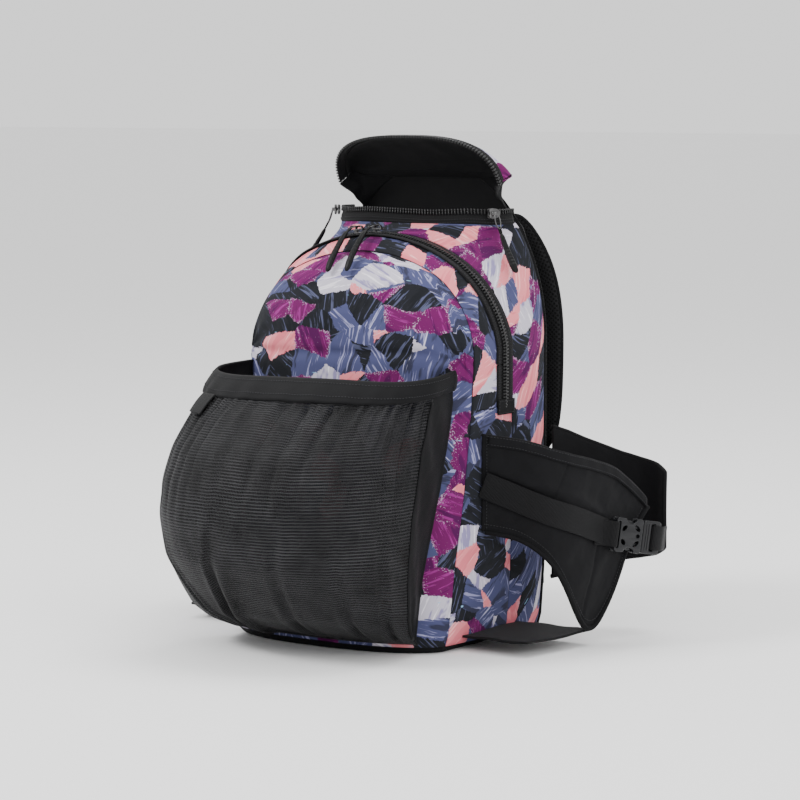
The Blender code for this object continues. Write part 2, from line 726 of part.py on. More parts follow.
def wings(m):
    seg = np.r_[0, np.cumsum(np.linalg.norm(np.diff(WING, axis=0), axis=1))]
    for tag, sign in (("l", -1), ("r", 1)):
        grid = []
        for i, s in enumerate(seg):
            lo, hi = WING_LOW[i], WING_HIGH[i]
            grid.append([wing_at(s, lo + (hi - lo) * t) for t in np.linspace(0, 1, 9)])
        slab("wing_" + tag, mirror(grid, sign), 2.2, m["softshell"], (sign * 150, 80, 100))
        grid = []
        for y in (-28, 0, 30, 56, 70):
            x1 = np.interp(y, [-28, 30, 70], [198, 206, 207])
            grid.append([(x, y, 2.6) for x in np.linspace(126.5, x1, 6)])
        slab("boot_stirrup_" + tag, mirror(grid, sign), 2.0, m["softshell"], (0, 0, -4000))
        strap = []
        for s in np.linspace(1.5, 129.0, 22):
            z = 143 - 49.5 * s / 133.0
            strap.append(wing_at(s, z, 3.0))
        strap = mirror(strap, sign)
        band("wing_webbing_" + tag, strap, (0, 0, 1), WEB / 2, 0.8, m["web"])
        rear = [(133.4, 116), (143, 136), (158, 156), (176, 171), (196, 179), (212, 179), (222, 174), (229.5, 168)]
        low = [40, 42, 46, 50, 55, 58, 62, 70]
        high = [186, 180, 172, 165, 158, 153, 149, 143]
        grid = []
        for i, (x, y) in enumerate(rear):
            grid.append([(x, y, low[i] + (high[i] - low[i]) * t) for t in np.linspace(0, 1, 5)])
        slab("rear_flap_" + tag, mirror(grid, sign), 2.2, m["softshell"], (sign * 170, 100, 100))


# ---------------------------------------------------------------- wing buckles
def buckle_frame():
    """Origin and axes of the right buckle: u along the strap, v up across it, w outward."""
    p = wing_at(133.0, 93.5, 2.6)
    u = unit((0.36, 0.93, -0.16))
    w = unit(np.cross(u, (0, 0, 1)))
    v = np.cross(w, u)
    return p, u, v, w


def place(p, u, v, w, sign, a, b, c):
    q = p + u * a + v * b + w * c
    return q * np.array([sign, 1, 1])


def plate(name, outline, c0, c1, fr, sign, mat):
    p, u, v, w = fr
    low = [place(p, u, v, w, sign, a, b, c0) for a, b in outline]
    high = [place(p, u, v, w, sign, a, b, c1) for a, b in outline]
    return loft(name, [low, high], mat, False)


def rect(a0, a1, b0, b1, r=0.0):
    if r <= 0:
        return [(a0, b0), (a1, b0), (a1, b1), (a0, b1)]
    pts = []
    for cx, cy, start in ((a1 - r, b0 + r, -90), (a1 - r, b1 - r, 0), (a0 + r, b1 - r, 90), (a0 + r, b0 + r, 180)):
        for k in range(4):
            q = math.radians(start + 30 * k)
            pts.append((cx + r * math.cos(q), cy + r * math.sin(q)))
    return pts


def buckles(m):
    fr = buckle_frame()
    for tag, sign in (("l", -1), ("r", 1)):
        body = plate("buckle_socket_" + tag, rect(2, 34, -16.5, 16.5, 3), 0.4, 9.4, fr, sign, m["plastic"])
        win = [(8, -11.8), (12, -11.8), (12, -20), (27, -20), (27, -11.8), (40, -11.8),
               (40, 11.8), (27, 11.8), (27, 20), (12, 20), (12, 11.8), (8, 11.8)]
        cuts = [plate("c1", win, 2.4, 7.4, fr, sign, m["plastic"]),
                plate("c4", rect(3.6, 6.2, -13, 13), -1, 11, fr, sign, m["plastic"])]
        cut_now(body, cuts)
        male = plate("buckle_clip_" + tag, rect(36, 56, -15.5, 15.5, 2.5), 1.4, 8.2, fr, sign, m["plastic"])
        tongue = plate("c5", rect(14, 38, -2.2, 2.2), 3.4, 6.4, fr, sign, m["plastic"])
        slot = [plate("c6", rect(45, 49, -13, 13), -2, 12, fr, sign, m["plastic"])]
        join_now(male, [tongue])
        cut_now(male, slot)
        for side_tag, sb in (("lower", -1), ("upper", 1)):
            arm = [(35.6, 6.2), (35.6, 9.0), (30, 9.4), (24, 10.6), (15, 11.2), (12.8, 9.6), (16, 7.8), (24, 7.0),
                   (30, 6.4)]
            arm = [(a, b * sb) for a, b in arm]
            plate("buckle_prong_" + side_tag + "_" + tag, arm, 3.0, 6.8, fr, sign, m["plastic"])


def clip_webbing(m):
    p, u, v, w = buckle_frame()
    local = [(46.9, 0.2), (47.0, 4.6), (48.4, 9.4), (53, 10.2), (58, 9.2), (63, 5.0), (68, -1.0), (73, -6.5), (78, -10.5)]
    for tag, sign in (("l", -1), ("r", 1)):
        path = [place(p, u, v, w, sign, a, 0, c) for a, c in local]
        band("clip_webbing_" + tag, path, mirror([v], sign)[0], WEB / 2 - 0.8, 0.7, m["web"])


def main():
    clear_scene()
    m = {"print": material("printed_fabric", (0.30, 0.14, 0.30), 0.75),
         "black": material("black_fabric", (0.02, 0.02, 0.022), 0.8),
         "stretch": material("stretch_fabric", (0.018, 0.018, 0.02), 0.75),
         "net": material("stretch_net", (0.04, 0.04, 0.043), 0.7),
         "softshell": material("softshell", (0.02, 0.02, 0.023), 0.85),
         "lining": material("lining", (0.015, 0.015, 0.016), 0.85),
         "board": material("stiffener", (0.05, 0.05, 0.05), 0.7),
         "back": material("padded_mesh", (0.025, 0.025, 0.027), 0.9),
         "web": material("webbing", (0.02, 0.02, 0.022), 0.7),
         "zip": material("zip_teeth", (0.015, 0.015, 0.016), 0.35),
         "plastic": material("buckle_plastic", (0.05, 0.05, 0.055), 0.4),
         "rubber": material("cord_rubber", (0.03, 0.03, 0.032), 0.6),
         "gun": material("gunmetal", (0.22, 0.22, 0.23), 0.35, 1.0)}
    base(m)
    base_board(m)
    front_panel(m)
    front_flap(m)
    gussets(m)
    front_zip(m)
    side_panels(m)
    main_zip(m)
    lid(m)
    divider(m)
    back(m)
    haul_handle(m)
    shoulder(m)
    sliders(m)
    net(m)
    wings(m)
    buckles(m)
    clip_webbing(m)


main()
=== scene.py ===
import math

import bmesh
import bpy
import numpy as np
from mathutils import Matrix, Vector


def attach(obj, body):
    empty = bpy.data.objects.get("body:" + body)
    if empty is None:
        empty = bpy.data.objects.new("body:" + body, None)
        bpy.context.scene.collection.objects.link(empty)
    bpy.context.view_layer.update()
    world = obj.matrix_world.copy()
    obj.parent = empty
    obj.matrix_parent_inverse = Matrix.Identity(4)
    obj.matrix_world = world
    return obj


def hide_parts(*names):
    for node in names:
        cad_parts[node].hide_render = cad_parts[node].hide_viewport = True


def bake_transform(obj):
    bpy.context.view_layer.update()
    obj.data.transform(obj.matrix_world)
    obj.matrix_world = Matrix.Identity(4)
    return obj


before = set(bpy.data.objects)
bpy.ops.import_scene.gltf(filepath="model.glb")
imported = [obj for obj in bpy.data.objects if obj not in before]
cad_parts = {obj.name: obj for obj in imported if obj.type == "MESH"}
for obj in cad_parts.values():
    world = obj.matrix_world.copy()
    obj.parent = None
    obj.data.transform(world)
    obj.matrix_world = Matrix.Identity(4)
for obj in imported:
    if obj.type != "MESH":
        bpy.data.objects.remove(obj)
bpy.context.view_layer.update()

MM = 0.001
LIFT = 12.0                 # heights below are measured from the boot sole line, 12 mm above the base
FOOT = -5.8
BODY_W = 130.0
CROWN_R, CROWN_DEG = 180.0, 25.0
ZIP_CROWN, SEAM_CROWN = 372.0, 355.0
FLAP_Z, ZIP_END = 252.0, 212.0
FOLD_Z = 262.0              # crease where the front flap folds down
ZIP_Y = 16.0                # depth of the front zip at the crown
BACK_Y = 108.0
RIM_Z, RIM_W, RIM_D = 382.0, 96.0, 56.0
LID_AXIS, LID_OPEN = (112.0, 428.0), 61.0
LID_W, LID_D, LID_HALF = RIM_W - 3.2, RIM_D - 3.2, 82.0
LID_LOW, LID_HIGH = RIM_Z + 14.4, LID_AXIS[1] - 0.5
LID_BACK = BACK_Y - 0.6
LID_CENTRE = np.array([0, LID_BACK - 20, LID_LOW])     # a point inside the closed lid
WEB = 25.0
TOOTH = 3.1                 # pitch of the moulded zip teeth


# ================================================================ mesh helpers (mm in, metres out)
def unit(v):
    v = np.asarray(v, float)
    return v / np.maximum(np.linalg.norm(v, axis=-1, keepdims=True), 1e-9)


def mesh_object(name, verts, faces, mats, uvs=None, face_mats=None, smooth=True):
    verts = np.asarray(verts, float).copy()
    verts[:, 2] += LIFT
    mesh = bpy.data.meshes.new(name)
    mesh.from_pydata((verts * MM).tolist(), [], faces)
    for m in mats:
        mesh.materials.append(m)
    if face_mats is not None:
        mesh.polygons.foreach_set("material_index", np.asarray(face_mats, dtype=np.int32))
    mesh.polygons.foreach_set("use_smooth", np.full(len(mesh.polygons), smooth))
    if uvs is not None:
        layer = mesh.uv_layers.new(name="uv")
        idx = np.empty(len(mesh.loops), dtype=np.int32)
        mesh.loops.foreach_get("vertex_index", idx)
        layer.data.foreach_set("uv", (np.asarray(uvs)[idx] * MM).astype(np.float32).ravel())
    mesh.update()
    ob = bpy.data.objects.new(name, mesh)
    bpy.context.scene.collection.objects.link(ob)
    return ob


def grid_normals(grid):
    return unit(np.cross(np.gradient(grid, axis=0), np.gradient(grid, axis=1)))


def at_length(path, s, seg):
    """Points of a path at the distances s, given the distance at each of its points."""
    return np.stack([np.interp(s, seg, path[:, c]) for c in range(path.shape[1])], -1)


def arc_length(path):
    """Distance along a path at each of its points."""
    return np.r_[0, np.cumsum(np.linalg.norm(np.diff(path, axis=0), axis=1))]


def outward(grid, away):
    """Unit normals of a grid that point away from the given point (or along the given grid of directions)."""
    n = grid_normals(grid)
    if np.sum((grid - np.asarray(away, float)) * n) < 0:
        n = -n
    return n


def facing(out, rel):
    """Turns the directions that point the other way from rel."""
    out[np.sum(out * rel, axis=1) < 0] *= -1
    return out


def grid_uv(grid, offset=(0, 0)):
    """Flat cloth coordinates in mm: arc length along each grid direction from its middle row."""
    nu, nv = grid.shape[:2]
    du = np.linalg.norm(np.diff(grid, axis=0), axis=2)
    dv = np.linalg.norm(np.diff(grid, axis=1), axis=2)
    u = np.vstack([np.zeros((1, nv)), np.cumsum(du, axis=0)])
    v = np.hstack([np.zeros((nu, 1)), np.cumsum(dv, axis=1)])
    u = u - u[nu // 2]
    v = v - v[:, nv // 2][:, None]
    return np.stack([v + offset[0], u + offset[1]], axis=2)


def cloth(name, grid, thick, away, outer, inner=None, uv=None, offset=(0, 0), edge=0):
    """Two-faced cloth: the grid is the outer face, the inner one lies thick mm behind it.

    The rim has the outer material, or the inner one where edge is 1.
    """
    grid = np.asarray(grid, float)
    nu, nv = grid.shape[:2]
    n = outward(grid, away)
    uv = grid_uv(grid, offset) if uv is None else uv
    verts = np.vstack([grid.reshape(-1, 3), (grid - n * thick).reshape(-1, 3)])
    uvs = np.vstack([uv.reshape(-1, 2)] * 2)
    i, j = np.meshgrid(np.arange(nu - 1), np.arange(nv - 1), indexing="ij")
    a = (i * nv + j).ravel()
    off = nu * nv
    front = np.stack([a, a + nv, a + nv + 1, a + 1], 1)
    rear = front[:, ::-1] + off
    side = []
    for p in range(0, (nu - 1) * nv, nv):
        q = p + nv - 1
        side += [(p, p + off, p + nv + off, p + nv), (q, q + nv, q + nv + off, q + off)]
    for k in range(nv - 1):
        q = (nu - 1) * nv + k
        side += [(k, k + 1, k + 1 + off, k + off), (q, q + off, q + 1 + off, q + 1)]
    side = np.array(side)
    cross = np.cross(grid[1:, :-1] - grid[:-1, :-1], grid[:-1, 1:] - grid[:-1, :-1])
    if np.sum(cross * n[:-1, :-1]) < 0:
        front, rear, side = front[:, ::-1], rear[:, ::-1], side[:, ::-1]
    index = np.r_[np.zeros(len(front)), np.ones(len(rear)), np.full(len(side), edge)]
    return mesh_object(name, verts, np.vstack([front, rear, side]).tolist(), [outer, inner or outer], uvs, index)


def sweep(name, path, profile, side, mat, caps=True):
    """Profile points (across, out) carried along a path; side is the across direction at each point."""
    path = np.asarray(path, float)
    tang = unit(np.gradient(path, axis=0))
    side = np.broadcast_to(np.asarray(side, float), path.shape)
    s = unit(side - tang * np.sum(side * tang, axis=1, keepdims=True))
    n = np.cross(tang, s)
    prof = np.asarray(profile, float)
    if prof.ndim == 2:
        prof = np.broadcast_to(prof, (len(path),) + prof.shape)
    verts = path[:, None] + s[:, None] * prof[..., :1] + n[:, None] * prof[..., 1:2]
    m, k = prof.shape[:2]
    uv = np.stack([prof[..., 0], np.broadcast_to(arc_length(path)[:, None], (m, k))], 2)
    i, j = np.meshgrid(np.arange(m - 1), np.arange(k), indexing="ij")
    a = (i * k + j).ravel()
    b = (i * k + (j + 1) % k).ravel()
    faces = np.stack([a, b, b + k, a + k], 1).tolist()
    if caps:
        faces.append(list(range(k))[::-1])
        faces.append([(m - 1) * k + q for q in range(k)])
    ob = mesh_object(name, verts.reshape(-1, 3), faces, [mat], uv.reshape(-1, 2))
    fix_normals(ob)
    return ob


def fix_normals(ob, weld=False):
    bm = bmesh.new()
    bm.from_mesh(ob.data)
    if weld:
        bmesh.ops.remove_doubles(bm, verts=bm.verts, dist=1e-6)
    bmesh.ops.recalc_face_normals(bm, faces=bm.faces)
    bm.to_mesh(ob.data)
    bm.free()


def corner_arcs(corners, r, n):
    """Quarter circles of radius r, each given by its centre and the angle where it starts."""
    pts = []
    for cx, cy, start in corners:
        for k in range(n + 1):
            q = math.radians(start + 90 * k / n)
            pts.append((cx + r * math.cos(q), cy + r * math.sin(q)))
    return pts


def circle(radius, n):
    return [(radius * math.cos(a), radius * math.sin(a)) for a in np.linspace(0, 2 * np.pi, n + 1)[:-1]]


def rounded(hw, ht, r=None, n=4):
    """Rounded rectangle profile with half width hw and half thickness ht."""
    r = min(hw, ht) * 0.98 if r is None else r
    corners = ((hw - r, ht - r, 0), (-hw + r, ht - r, 90), (-hw + r, -ht + r, 180), (hw - r, -ht + r, 270))
    return corner_arcs(corners, r, n)


def resample(path, step):
    path = np.asarray(path, float)
    seg = arc_length(path)
    n = max(int(round(seg[-1] / step)), 2)
    return at_length(path, np.linspace(0, seg[-1], n + 1), seg)


def smooth_path(points, step=2.0, rounds=3):
    """Chaikin-rounded polyline, resampled."""
    p = np.asarray(points, float)
    for _ in range(rounds):
        q = p[:-1] * 0.75 + p[1:] * 0.25
        r = p[:-1] * 0.25 + p[1:] * 0.75
        p = np.vstack([p[:1], np.stack([q, r], 1).reshape(-1, p.shape[1]), p[-1:]])
    return resample(p, step)


def blocks(name, centres, ax, ay, az, size, mat, bevel=0.25):
    """Many small bevelled blocks in one mesh: teeth and stitches."""
    hx, hy, hz = (s / 2 for s in size)
    c = min(hx, hy, hz) * bevel * 2
    ring = [(hx - c, hy), (hx, hy - c), (hx, -hy + c), (hx - c, -hy),
            (-hx + c, -hy), (-hx, -hy + c), (-hx, hy - c), (-hx + c, hy)]
    levels = ((-hz, 0.78), (-hz + c, 1), (hz - c, 1), (hz, 0.78))
    pts = np.array([(x * k, y * k, z) for z, k in levels for x, y in ring])
    verts = np.asarray(centres, float)[:, None] + sum(
        np.asarray(axis)[:, None] * pts[None, :, c:c + 1] for c, axis in enumerate((ax, ay, az)))
    n = len(ring)
    faces = [(lv * n + j, lv * n + j + n, lv * n + (j + 1) % n + n, lv * n + (j + 1) % n)
             for lv in range(len(levels) - 1) for j in range(n)]
    faces += [tuple(range(n)), tuple(3 * n + j for j in reversed(range(n)))]
    all_faces = [tuple(q + len(pts) * k for q in f) for k in range(len(verts)) for f in faces]
    ob = mesh_object(name, verts.reshape(-1, 3), all_faces, [mat])
    fix_normals(ob)
    return ob


def stitch_row(name, path, normal, pitch=3.0, length=1.9, width=0.5, lift=0.15):
    """A row of thread stitches lying on a surface."""
    path = np.asarray(path, float)
    normal = np.broadcast_to(np.asarray(normal, float), path.shape)
    both = resample(np.hstack([path, normal]), pitch)
    p, n = both[:, :3], unit(both[:, 3:])
    t = unit(np.gradient(p, axis=0))
    n = unit(n - t * np.sum(n * t, axis=1, keepdims=True))
    return blocks(name, p + n * lift, t, np.cross(n, t), n, (length, width, 0.5), M["thread"], 0.45)


def joined(name, obs):
    """Joins pieces that share a material into one object."""
    ctx = {"active_object": obs[0], "selected_editable_objects": obs, "selected_objects": obs}
    with bpy.context.temp_override(**ctx):
        bpy.ops.object.join()
    obs[0].name = name
    return obs[0]


def waves(u, v, seed, count=7, scale=1.0, ridge=0.0):
    """Repeatable smooth ripple field in about -1..1 for cloth relief; ridge sharpens the crests."""
    rng = np.random.default_rng(seed)
    total = np.zeros(np.broadcast(u, v).shape)
    for k in range(count):
        a = rng.uniform(0, math.pi)
        f = scale * (0.6 + 1.8 * rng.random()) * (1 + 0.35 * k) / 60.0
        ph = rng.uniform(0, 2 * math.pi, 3)
        bend = 1.2 * np.sin((u * math.sin(a) + v * math.cos(a)) * f * 0.5 + ph[1])
        w = np.sin((u * math.cos(a) - v * math.sin(a)) * f * 2 * math.pi / 3 + ph[0] + bend)
        if ridge:
            w = (1 - ridge) * w + ridge * (1 - 2 * np.abs(w) ** 0.8)
        total += w / (1 + 0.45 * k)
    return total / 2.6


def bump_line(d, width, sharp=1.0):
    return np.exp(-np.abs(d / width) ** (2 * sharp))


# ================================================================ materials
class Graph:
    """Small helper to write a node tree in few lines."""
    def __init__(self, name):
        self.mat = bpy.data.materials.new(name)
        self.mat.use_nodes = True
        self.tree = self.mat.node_tree
        self.bsdf = self.tree.nodes["Principled BSDF"]

    def node(self, kind, _set=None, **inputs):
        n = self.tree.nodes.new(kind)
        for k, v in (_set or {}).items():
            setattr(n, k, v)
        for k, v in inputs.items():
            self.put(n, k.replace("_", " "), v)
        return n

    def put(self, n, key, value):
        sock = n.inputs[key]
        if isinstance(value, bpy.types.NodeSocket):
            self.tree.links.new(value, sock)
        else:
            sock.default_value = value

    def math(self, op, a, b=0.0, clamp=False):
        n = self.node("ShaderNodeMath", {"operation": op, "use_clamp": clamp})
        for k, v in enumerate((a, b, 0.0)):
            self.put(n, k, v)
        return n.outputs[0]

    def mul(self, a, b):
        return self.math("MULTIPLY", a, b)

    def add(self, a, b):
        return self.math("ADD", a, b)

    def over(self, a, b, slope):
        """How far a is over b, times the slope, held to 0..1."""
        return self.math("MULTIPLY", self.math("SUBTRACT", a, b), slope, True)

    def mix(self, f, a, b, blend="MIX"):
        n = self.node("ShaderNodeMix", {"data_type": "RGBA", "blend_type": blend})
        for key, v in ((0, f), (6, a), (7, b)):
            self.put(n, key, (*v, 1.0) if isinstance(v, tuple) else v)
        return n.outputs[2]

    def steps(self, fac, stops, colors):
        n = self.tree.nodes.new("ShaderNodeValToRGB")
        n.color_ramp.interpolation = "CONSTANT"
        el = n.color_ramp.elements
        while len(el) > 1:
            el.remove(el[-1])
        for k, (pos, col) in enumerate(zip(stops, colors)):
            e = el.new(pos) if k else el[0]
            e.position, e.color = pos, (*col, 1)
        self.tree.links.new(fac, n.inputs[0])
        return n.outputs[0]

    def uv(self, scale=(1, 1, 1), rot=0.0):
        return self.mapped(self.node("ShaderNodeUVMap", {"uv_map": "uv"}).outputs[0], scale, rot)

    def obj(self):
        return self.mapped(self.node("ShaderNodeTexCoord").outputs["Object"], (1, 1, 1))

    def mapped(self, src, scale, rot=0.0, loc=(0, 0, 0)):
        return self.node("ShaderNodeMapping", Vector=src, Scale=scale, Rotation=(0, 0, rot), Location=loc).outputs[0]

    def noise(self, vec, scale, detail=2.0, rough=0.5, distortion=0.0, out="Fac"):
        return self.node("ShaderNodeTexNoise", Vector=vec, Scale=scale, Detail=detail, Roughness=rough,
                         Distortion=distortion).outputs[out]

    def bands(self, vec, pitch, direction):
        """Soft stripes that repeat every pitch mm."""
        return self.node("ShaderNodeTexWave", {"bands_direction": direction}, Vector=vec,
                         Scale=0.314 * 1000 / pitch, Distortion=0.0).outputs["Fac"]

    def bump(self, height, strength, distance, below=None):
        n = self.node("ShaderNodeBump", Height=height, Strength=strength, Distance=distance)
        if below is not None:
            self.tree.links.new(below, n.inputs["Normal"])
        return n.outputs[0]

    def finish(self, color, rough=0.7, metal=0.0, normal=None, sheen=0.0, sheen_rough=0.5, spec=0.5):
        values = {"Base Color": (*color, 1.0) if isinstance(color, tuple) else color, "Roughness": rough,
                  "Metallic": metal, "Sheen Weight": sheen, "Sheen Roughness": sheen_rough, "Specular IOR Level": spec}
        for key, v in values.items():
            self.put(self.bsdf, key, v)
        if normal is not None:
            self.put(self.bsdf, "Normal", normal)
        return self.mat


def weave(g, uv, pitch):
    """Plain weave relief from two crossed thread directions, pitch in mm."""
    return g.mul(g.bands(uv, pitch, "X"), g.bands(uv, pitch, "Y"))


def mat_print():
    """Woven polyester with a generic print of torn, brushed facets in plum, slate, charcoal, lilac and salmon."""
    g = Graph("printed_fabric")
    uv = g.uv()

    def shifted(src, field, amount):
        k = g.node("ShaderNodeVectorMath", {"operation": "MULTIPLY_ADD"})
        for key, v in enumerate((field, (amount, amount, 0), src)):
            g.put(k, key, v)
        return k.outputs[0]

    warp = g.noise(uv, 13.0, 1.0, 0.5, out="Color")
    rag = g.noise(uv, 210.0, 4.0, 0.75, out="Color")
    vec = g.mapped(shifted(shifted(uv, warp, 0.030), rag, 0.0075), (30.0, 43.0, 1.0), 0.5)
    cells = g.node("ShaderNodeTexVoronoi", Vector=vec, Scale=1.0, Randomness=1.0)
    rim = g.node("ShaderNodeTexVoronoi", {"feature": "DISTANCE_TO_EDGE"}, Vector=vec, Scale=1.0, Randomness=1.0)
    pick, turn, third = g.node("ShaderNodeSeparateColor", Color=cells.outputs["Color"]).outputs
    # slate, charcoal, plum, salmon and lilac, each with a deeper and a paler tone
    stops = (0.0, 0.33, 0.58, 0.79, 0.905)
    base = g.steps(pick, stops, ((0.062, 0.068, 0.155), (0.011, 0.012, 0.016), (0.130, 0.007, 0.088),
                                 (0.78, 0.23, 0.26), (0.52, 0.49, 0.58)))
    deep = g.steps(pick, stops, ((0.030, 0.032, 0.062), (0.008, 0.009, 0.012), (0.070, 0.004, 0.062),
                                 (0.70, 0.17, 0.21), (0.26, 0.23, 0.40)))
    pale = g.steps(pick, stops, ((0.30, 0.30, 0.50), (0.082, 0.090, 0.165), (0.27, 0.026, 0.20),
                                 (0.92, 0.44, 0.44), (0.78, 0.75, 0.82)))
    slate_end, salmon_start = stops[1:3]
    # brush strokes that run another way in each facet
    angle = g.mul(g.math("SUBTRACT", turn, 0.5), 3.4)
    rot = g.node("ShaderNodeVectorRotate", {"rotation_type": "Z_AXIS"}, Vector=shifted(uv, warp, 0.012), Angle=angle)
    brush = g.noise(g.mapped(rot.outputs[0], (26.0, 330.0, 1.0)), 1.0, 3.0, 0.6, 0.5)
    broad = g.noise(g.mapped(rot.outputs[0], (17.0, 85.0, 1.0), 0.0, (7, 3, 0)), 1.0, 3.0, 0.6, 0.4)
    col = g.mix(g.over(0.455, broad, 22.0), base, deep)
    col = g.mix(g.mul(g.over(g.add(brush, g.mul(broad, 0.5)), 0.835, 20.0), 0.9), col, pale)
    white_on = g.mul(g.math("LESS_THAN", pick, slate_end), g.math("GREATER_THAN", third, 0.45))
    col = g.mix(g.mul(g.over(brush, 0.655, 30.0), g.mul(white_on, 0.85)), col, (0.66, 0.63, 0.74))
    # dry brush flecks along the edges of the plum and salmon facets, rare sky blue dashes
    near = g.mul(g.over(0.16, rim.outputs["Distance"], 6.2), g.over(broad, 0.40, 6.0))
    dry = g.over(g.add(g.noise(uv, 620.0, 2.0, 0.7), g.mul(near, 0.22)), 0.69, 30.0)
    warm = g.math("GREATER_THAN", pick, salmon_start)
    col = g.mix(g.mul(dry, g.mul(warm, 0.7)), col, (0.50, 0.42, 0.52))
    dash = g.noise(g.mapped(uv, (60.0, 240.0, 1.0), 0.9), 1.0, 1.0, 0.5)
    col = g.mix(g.over(dash, 0.775, 40.0), col, (0.26, 0.48, 0.70))
    h = weave(g, uv, 0.75)
    col = g.mix(g.mul(h, 0.18), col, (0.02, 0.02, 0.025), "MULTIPLY")
    n = g.bump(g.add(h, g.mul(g.noise(uv, 900.0), 0.5)), 0.25, 0.0003)
    return g.finish(col, 0.85, 0.0, n, 0.02, 0.5, 0.15)


def mat_fabric(name, color, rough=0.8, pitch=0.7, strength=0.25, sheen=0.02, coarse=0.0, spec=0.12):
    g = Graph(name)
    uv = g.uv()
    h = weave(g, uv, pitch)
    dark, light = tuple(c * 0.75 for c in color), tuple(min(1.0, c * 1.3 + 0.001) for c in color)
    col = g.mix(g.noise(uv, 60.0, 3.0, 0.6), dark, light)
    col = g.mix(g.mul(h, 0.35), col, tuple(min(1, c * 2.0 + 0.004) for c in color))
    n = g.bump(g.add(h, g.mul(g.noise(uv, 1400.0, 2.0, 0.6), 0.4)), strength, 0.0004)
    if coarse:
        n = g.bump(g.noise(uv, coarse), 0.12, 0.004, n)
    return g.finish(col, rough, 0.0, n, sheen, 0.45, spec)


def mat_net():
    """Stretch mesh: fine raised ribs across with rows of tiny holes between them, a little see-through."""
    g = Graph("stretch_net")
    uv = g.uv()
    ribs, cells = g.bands(uv, 3.0, "Y"), g.bands(uv, 1.7, "X")
    vary = g.noise(uv, 26.0, 3.0, 0.6)
    dots = g.mul(g.math("POWER", ribs, 3.0), g.add(g.mul(cells, 0.75), 0.25))
    ground = g.mix(vary, (0.0025, 0.0025, 0.003), (0.006, 0.006, 0.0068))
    col = g.mix(g.mul(dots, g.mul(g.over(vary, 0.30, 1.8), 0.9)), ground, (0.085, 0.085, 0.092))
    hole = g.mul(g.math("SUBTRACT", 1.0, ribs), g.math("SUBTRACT", 1.0, cells))
    g.put(g.bsdf, "Alpha", g.math("SUBTRACT", 1.0, g.mul(hole, 0.42)))
    return g.finish(col, 0.6, 0.0, g.bump(g.add(ribs, g.mul(cells, 0.5)), 0.5, 0.0005), 0.02, 0.4, 0.18)


def mat_webbing():
    """Woven webbing with ribs across the strap."""
    g = Graph("webbing")
    uv = g.uv()
    ribs = g.bands(uv, 1.25, "Y")
    col = g.mix(g.noise(uv, 120.0), (0.003, 0.003, 0.0034), (0.0055, 0.0055, 0.0062))
    col = g.mix(g.mul(ribs, 0.7), col, (0.0135, 0.0135, 0.0145))
    n = g.bump(g.add(ribs, g.mul(g.bands(uv, 0.8, "X"), 0.35)), 0.7, 0.0005)
    return g.finish(col, 0.6, 0.0, n, 0.01, 0.4, 0.14)


def mat_mesh_pad():
    """Spacer mesh of the back and straps: staggered round holes."""
    g = Graph("padded_mesh")
    v = g.node("ShaderNodeTexVoronoi", Vector=g.uv((330.0, 330.0, 1.0), 0.785), Scale=1.0, Randomness=0.0)
    hole = g.over(0.42, v.outputs["Distance"], 6.0)
    col = g.mix(g.noise(g.uv(), 80.0), (0.007, 0.007, 0.0078), (0.013, 0.013, 0.0142))
    n = g.bump(g.math("SUBTRACT", 1.0, hole), 0.7, 0.0010)
    return g.finish(g.mix(hole, col, (0.0015, 0.0015, 0.0015)), 0.8, 0.0, n, 0.03, 0.5, 0.15)


def mat_plastic(name, color, rough=0.42, grain=0.25, spec=0.5):
    g = Graph(name)
    c = g.obj()
    wide = g.noise(c, 90.0, 3.0)
    col = g.mix(wide, tuple(k * 0.85 for k in color), tuple(min(1, k * 1.18) for k in color))
    n = g.bump(g.noise(c, 1800.0, 2.0, 0.6), grain, 0.0002)
    return g.finish(col, g.add(g.mul(wide, 0.12), rough - 0.06), 0.0, n, 0.0, 0.5, spec)


def mat_metal():
    g = Graph("gunmetal")
    c = g.obj()
    scratch = g.noise(g.mapped(c, (400.0, 2600.0, 900.0)), 1.0, 3.0, 0.6)
    col = g.mix(g.noise(c, 260.0), (0.065, 0.065, 0.07), (0.15, 0.148, 0.145))
    return g.finish(col, g.add(g.mul(scratch, 0.25), 0.22), 1.0, g.bump(scratch, 0.15, 0.0001))


M = {"print": mat_print(),
     "black": mat_fabric("black_fabric", (0.0040, 0.0040, 0.0046), 0.8, 0.7, 0.3),
     "stretch": mat_fabric("stretch_fabric", (0.0035, 0.0035, 0.0041), 0.72, 0.5, 0.18, 0.03, 30.0),
     "net": mat_net(),
     "softshell": mat_fabric("softshell", (0.0042, 0.0042, 0.0050), 0.74, 0.55, 0.2, 0.03, 22.0),
     "lining": mat_fabric("lining", (0.0035, 0.0035, 0.0040), 0.7, 0.6, 0.2, 0.05),
     "board": mat_plastic("stiffener", (0.03, 0.03, 0.03), 0.6),
     "back": mat_mesh_pad(),
     "web": mat_webbing(),
     "thread": mat_fabric("thread", (0.030, 0.030, 0.033), 0.6, 0.4, 0.3, 0.03),
     "tape": mat_fabric("zip_tape", (0.0045, 0.0045, 0.0050), 0.74, 0.6, 0.4, 0.05),
     "teeth": mat_plastic("zip_teeth", (0.0040, 0.0040, 0.0045), 0.32, 0.1, 0.45),
     "plastic": mat_plastic("buckle_plastic", (0.0080, 0.0083, 0.0098), 0.34, 0.3, 0.3),
     "rubber": mat_plastic("cord_rubber", (0.0024, 0.0024, 0.0027), 0.45, 0.16, 0.17),
     "gun": mat_metal()}


